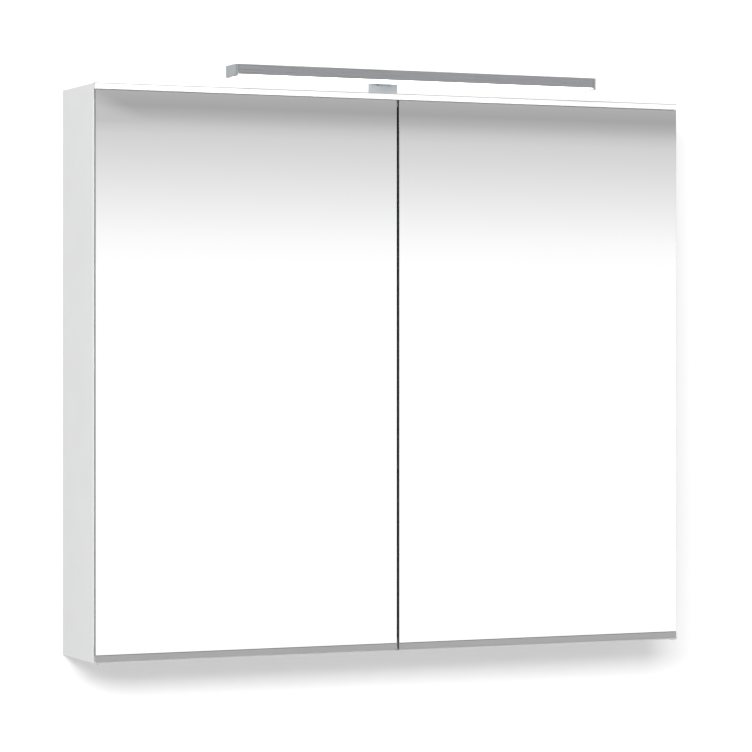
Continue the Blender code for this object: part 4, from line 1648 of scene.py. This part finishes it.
# ---------------------------------------------------------------- studio
@dataclass
class Studio:
    """The camera, the pale floor and wall, and the soft light.

    Attributes:
        eye: where the camera stands.
        heading: degrees that it looks to the right of the wall's normal.
        lens: focal length in millimetres on a 36 mm sensor.
        shift: how far the picture is shifted right and up, as a share of its width.
        surround: brightness of the room's light.
        backdrop: brightness of the room as seen, straight on or in a mirror.
        key: power of the soft light in watts.
        key_size: its width and height.
        key_target: the place that it shines at.
        key_distance: from that place to it.
        key_heading: its direction from there, in degrees from the wall's normal to the right.
        key_height: its direction from there, in degrees above level.
        floor_z: the floor's height.
        floor_reach: half of the floor's width.
        wall_reach: half of the wall's width, and its top.
        wall_gap: between the cabinet and the wall.
        card_reach: from the doors to the toned card that they mirror.
        card_ends: the card's left and right ends.
        card_span: the card's bottom and top. 1 is where the doors' top edge is mirrored, and 0 the
            eye's height.
        card_tones: heights on that scale with the card's tone at each.
        card_gain: brightness of the card's light.
        card_white: how bright a tone of 1 looks.
        card_slant: slope of the paler corner's edge.
        card_edge: where that edge starts and ends to fade.
        card_pale: the paler corner's tone.
    """

    eye: tuple[float, float, float] = (-1.5916, -3.6406, -0.2752)
    heading: float = 23.95
    lens: float = 147.1
    shift: tuple[float, float] = (-0.0003, -0.0298)
    surround: float = 0.66
    backdrop: float = 1.08
    key: float = 92.0
    key_size: tuple[float, float] = (2.3, 0.9)
    key_target: tuple[float, float, float] = (0.0, -0.06, -0.30)
    key_distance: float = 3.2
    key_heading: float = -24.0
    key_height: float = 14.5
    floor_z: float = -3.2
    floor_reach: float = 16.0
    wall_reach: float = 8.0
    wall_gap: float = 0.0005
    card_reach: float = 4.0
    card_ends: tuple[float, float] = (-7.0, 9.0)
    card_span: tuple[float, float] = (0.30, 1.9)
    card_tones: tuple[tuple[float, float], ...] = (
        (0.345, 1.0), (0.44, 0.955), (0.60, 0.825), (0.755, 0.70), (0.835, 0.64),
        (0.87, 0.575), (0.908, 0.456), (0.945, 0.377), (1.0, 0.43), (1.9, 0.50),
    )
    card_gain: float = 1.15
    card_white: float = 1.05
    card_slant: float = 0.53
    card_edge: tuple[float, float] = (0.465, 0.515)
    card_pale: float = 0.49

    def build(self) -> None:
        """Builds the studio."""
        scene = bpy.context.scene
        scene.view_settings.view_transform = "Standard"
        scene.view_settings.look = "None"
        self.camera()
        self.room()
        self.floor()
        self.wall()
        self.key_light()
        self.card()

    def camera(self) -> None:
        """A level camera with a long lens."""
        data = bpy.data.cameras.new("camera")
        data.sensor_width = 36.0
        data.lens = self.lens
        data.shift_x, data.shift_y = self.shift
        data.clip_end = 100.0
        made = bpy.data.objects.new("camera", data)
        made.location = self.eye
        made.rotation_euler = (math.radians(90.0), 0.0, math.radians(-self.heading))
        bpy.context.scene.collection.objects.link(made)
        bpy.context.scene.camera = made

    def room(self) -> None:
        """An even white surround."""
        world = bpy.data.worlds.new("studio")
        world.use_nodes = True
        tree = world.node_tree
        background = tree.nodes["Background"]
        background.inputs["Color"].default_value = (1.0, 1.0, 1.0, 1.0)
        strength = self.seen_or_lighting(tree, self.backdrop, self.surround)
        tree.links.new(strength, background.inputs["Strength"])
        bpy.context.scene.world = world

    def seen_or_lighting(self, tree: bpy.types.NodeTree, seen: float, lighting: float) -> Socket:
        """One value for rays that see a thing, straight on or in a mirror, and one for its light.

        Args:
            tree: the node tree to add to.
            seen: the value for camera and glossy rays.
            lighting: the value for all other rays.

        Returns:
            The value's socket.
        """
        path = tree.nodes.new("ShaderNodeLightPath")
        either = tree.nodes.new("ShaderNodeMath")
        either.operation = "MAXIMUM"
        tree.links.new(path.outputs["Is Camera Ray"], either.inputs[0])
        tree.links.new(path.outputs["Is Glossy Ray"], either.inputs[1])
        value = tree.nodes.new("ShaderNodeMapRange")
        tree.links.new(either.outputs[0], value.inputs["Value"])
        value.inputs["To Min"].default_value = lighting
        value.inputs["To Max"].default_value = seen
        return value.outputs[0]

    def sheet(
        self, name: str, corners: Sequence[Point], material: bpy.types.Material
    ) -> bpy.types.Object:
        """One flat stage sheet.

        Args:
            name: its name.
            corners: its four corners in order.
            material: its material.

        Returns:
            The sheet.
        """
        mesh = bpy.data.meshes.new(name)
        mesh.from_pydata([tuple(c) for c in corners], [], [tuple(range(len(corners)))])
        mesh.materials.append(material)
        made = bpy.data.objects.new(name, mesh)
        bpy.context.scene.collection.objects.link(made)
        return made

    def one_sided(self, graph: Graph) -> None:
        """Makes a sheet clear from behind, so that it never stands in front of the cabinet.

        Args:
            graph: the nodes of the sheet's material.
        """
        sides = graph.node("NewGeometry")
        clear = graph.node("BsdfTransparent")
        switch = graph.node("MixShader")
        graph.feed(switch.inputs[0], sides.outputs["Backfacing"])
        graph.feed(switch.inputs[1], graph.shader.outputs[0])
        graph.feed(switch.inputs[2], clear.outputs[0])
        graph.feed(graph.output.inputs["Surface"], switch.outputs[0])

    def floor(self) -> None:
        """A plain pale floor well below the cabinet."""
        graph = Graph("pale_floor")
        pale, paler = (0.90, 0.90, 0.90), (0.93, 0.93, 0.93)
        graph.set(
            base_color=graph.tones(graph.noise(1.5), (NOISE_LOW, pale), (NOISE_HIGH, paler)),
            roughness=0.9,
            emission_color=(1.0, 1.0, 1.0),
            emission_strength=self.seen_or_lighting(graph.tree, 0.45, 0.0),
        )
        self.one_sided(graph)
        far, z = self.floor_reach, self.floor_z
        corners = [(-far, -far, z), (far, -far, z), (far, far, z), (-far, far, z)]
        self.sheet("floor", corners, graph.material)

    def wall(self) -> None:
        """The wall that the cabinet hangs on.

        Only the camera sees it, and only from the front, so that the cabinet's back stays open to
        view and to the light.
        """
        graph = Graph("pale_wall")
        graph.set(base_color=(0.95, 0.95, 0.95), roughness=0.95, specular_ior_level=0.2)
        self.one_sided(graph)
        far, low = self.wall_reach, self.floor_z
        y = CAD_BOX[1].y + self.wall_gap
        corners = [(-far, y, low), (far, y, low), (far, y, far), (-far, y, far)]
        wall = self.sheet("wall", corners, graph.material)
        wall.visible_diffuse = wall.visible_glossy = False
        wall.visible_transmission = wall.visible_shadow = False

    def key_light(self) -> None:
        """A broad soft light in front of and above the doors."""
        turn, rise = math.radians(self.key_heading), math.radians(self.key_height)
        level = math.cos(rise)
        away = Vector((math.sin(turn) * level, -math.cos(turn) * level, math.sin(rise)))
        data = bpy.data.lights.new("key", "AREA")
        data.shape = "RECTANGLE"
        data.size, data.size_y = self.key_size
        data.energy = self.key
        made = bpy.data.objects.new("key", data)
        made.location = Vector(self.key_target) + away * self.key_distance
        made.rotation_mode = "QUATERNION"
        made.rotation_quaternion = (-away).to_track_quat("-Z", "Y")
        made.visible_glossy = False
        made.visible_camera = False
        bpy.context.scene.collection.objects.link(made)

    def card(self) -> None:
        """A card before the doors that darkens upwards, seen only in the mirrors and the metal."""
        low_corner, high_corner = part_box("front_mirror_left")
        face, top = low_corner.y, high_corner.z
        eye_z = self.eye[2]
        rise = (top - eye_z) * (1.0 + self.card_reach / (face - self.eye[1]))
        start, end = self.card_span
        low, high = eye_z + start * rise, eye_z + end * rise
        graph = Graph("toned_card")
        height = graph.span(graph.along(Axis.Z), 0.0, 1.0, low, high)
        scale, reach = self.card_white / self.card_gain, end - start
        stops = [((at - start) / reach, (tone * scale,) * 3) for at, tone in self.card_tones]
        tone = graph.tones(height, (0.0, (1.0, 1.0, 1.0)), *stops)
        down = graph.maths("SUBTRACT", graph.along(Axis.Z), eye_z + rise)
        slant = graph.plus(graph.times(graph.along(Axis.X), self.card_slant), down)
        corner = graph.span(slant, 1.0, 0.0, *self.card_edge)
        tone = graph.mix(corner, tone, (self.card_pale,) * 3, "LIGHTEN")
        light = graph.node("Emission")
        graph.feed(light.inputs["Color"], tone)
        graph.feed(light.inputs["Strength"], self.card_gain)
        graph.feed(graph.output.inputs["Surface"], light.outputs[0])
        y = face - self.card_reach
        left, right = self.card_ends
        corners = [(left, y, low), (right, y, low), (right, y, high), (left, y, high)]
        card = self.sheet("toned_card", corners, graph.material)
        card.visible_camera = card.visible_diffuse = False
        card.visible_transmission = card.visible_shadow = False


def main() -> None:
    """Builds the sub-assemblies in order."""
    logging.basicConfig(level=logging.INFO, format="%(name)s %(message)s")
    finishes = Finishes()
    Studio().build()
    Carcass(finishes).build()
    WallFixing(finishes).build()
    ShelfSet(finishes).build()
    for side in Side:
        MirrorDoor(side, finishes).build()
    DoorFittings(finishes).build()
    Lamp(finishes).build()
    DriverUnit(finishes).build()


if __name__ == "__main__":
    main()
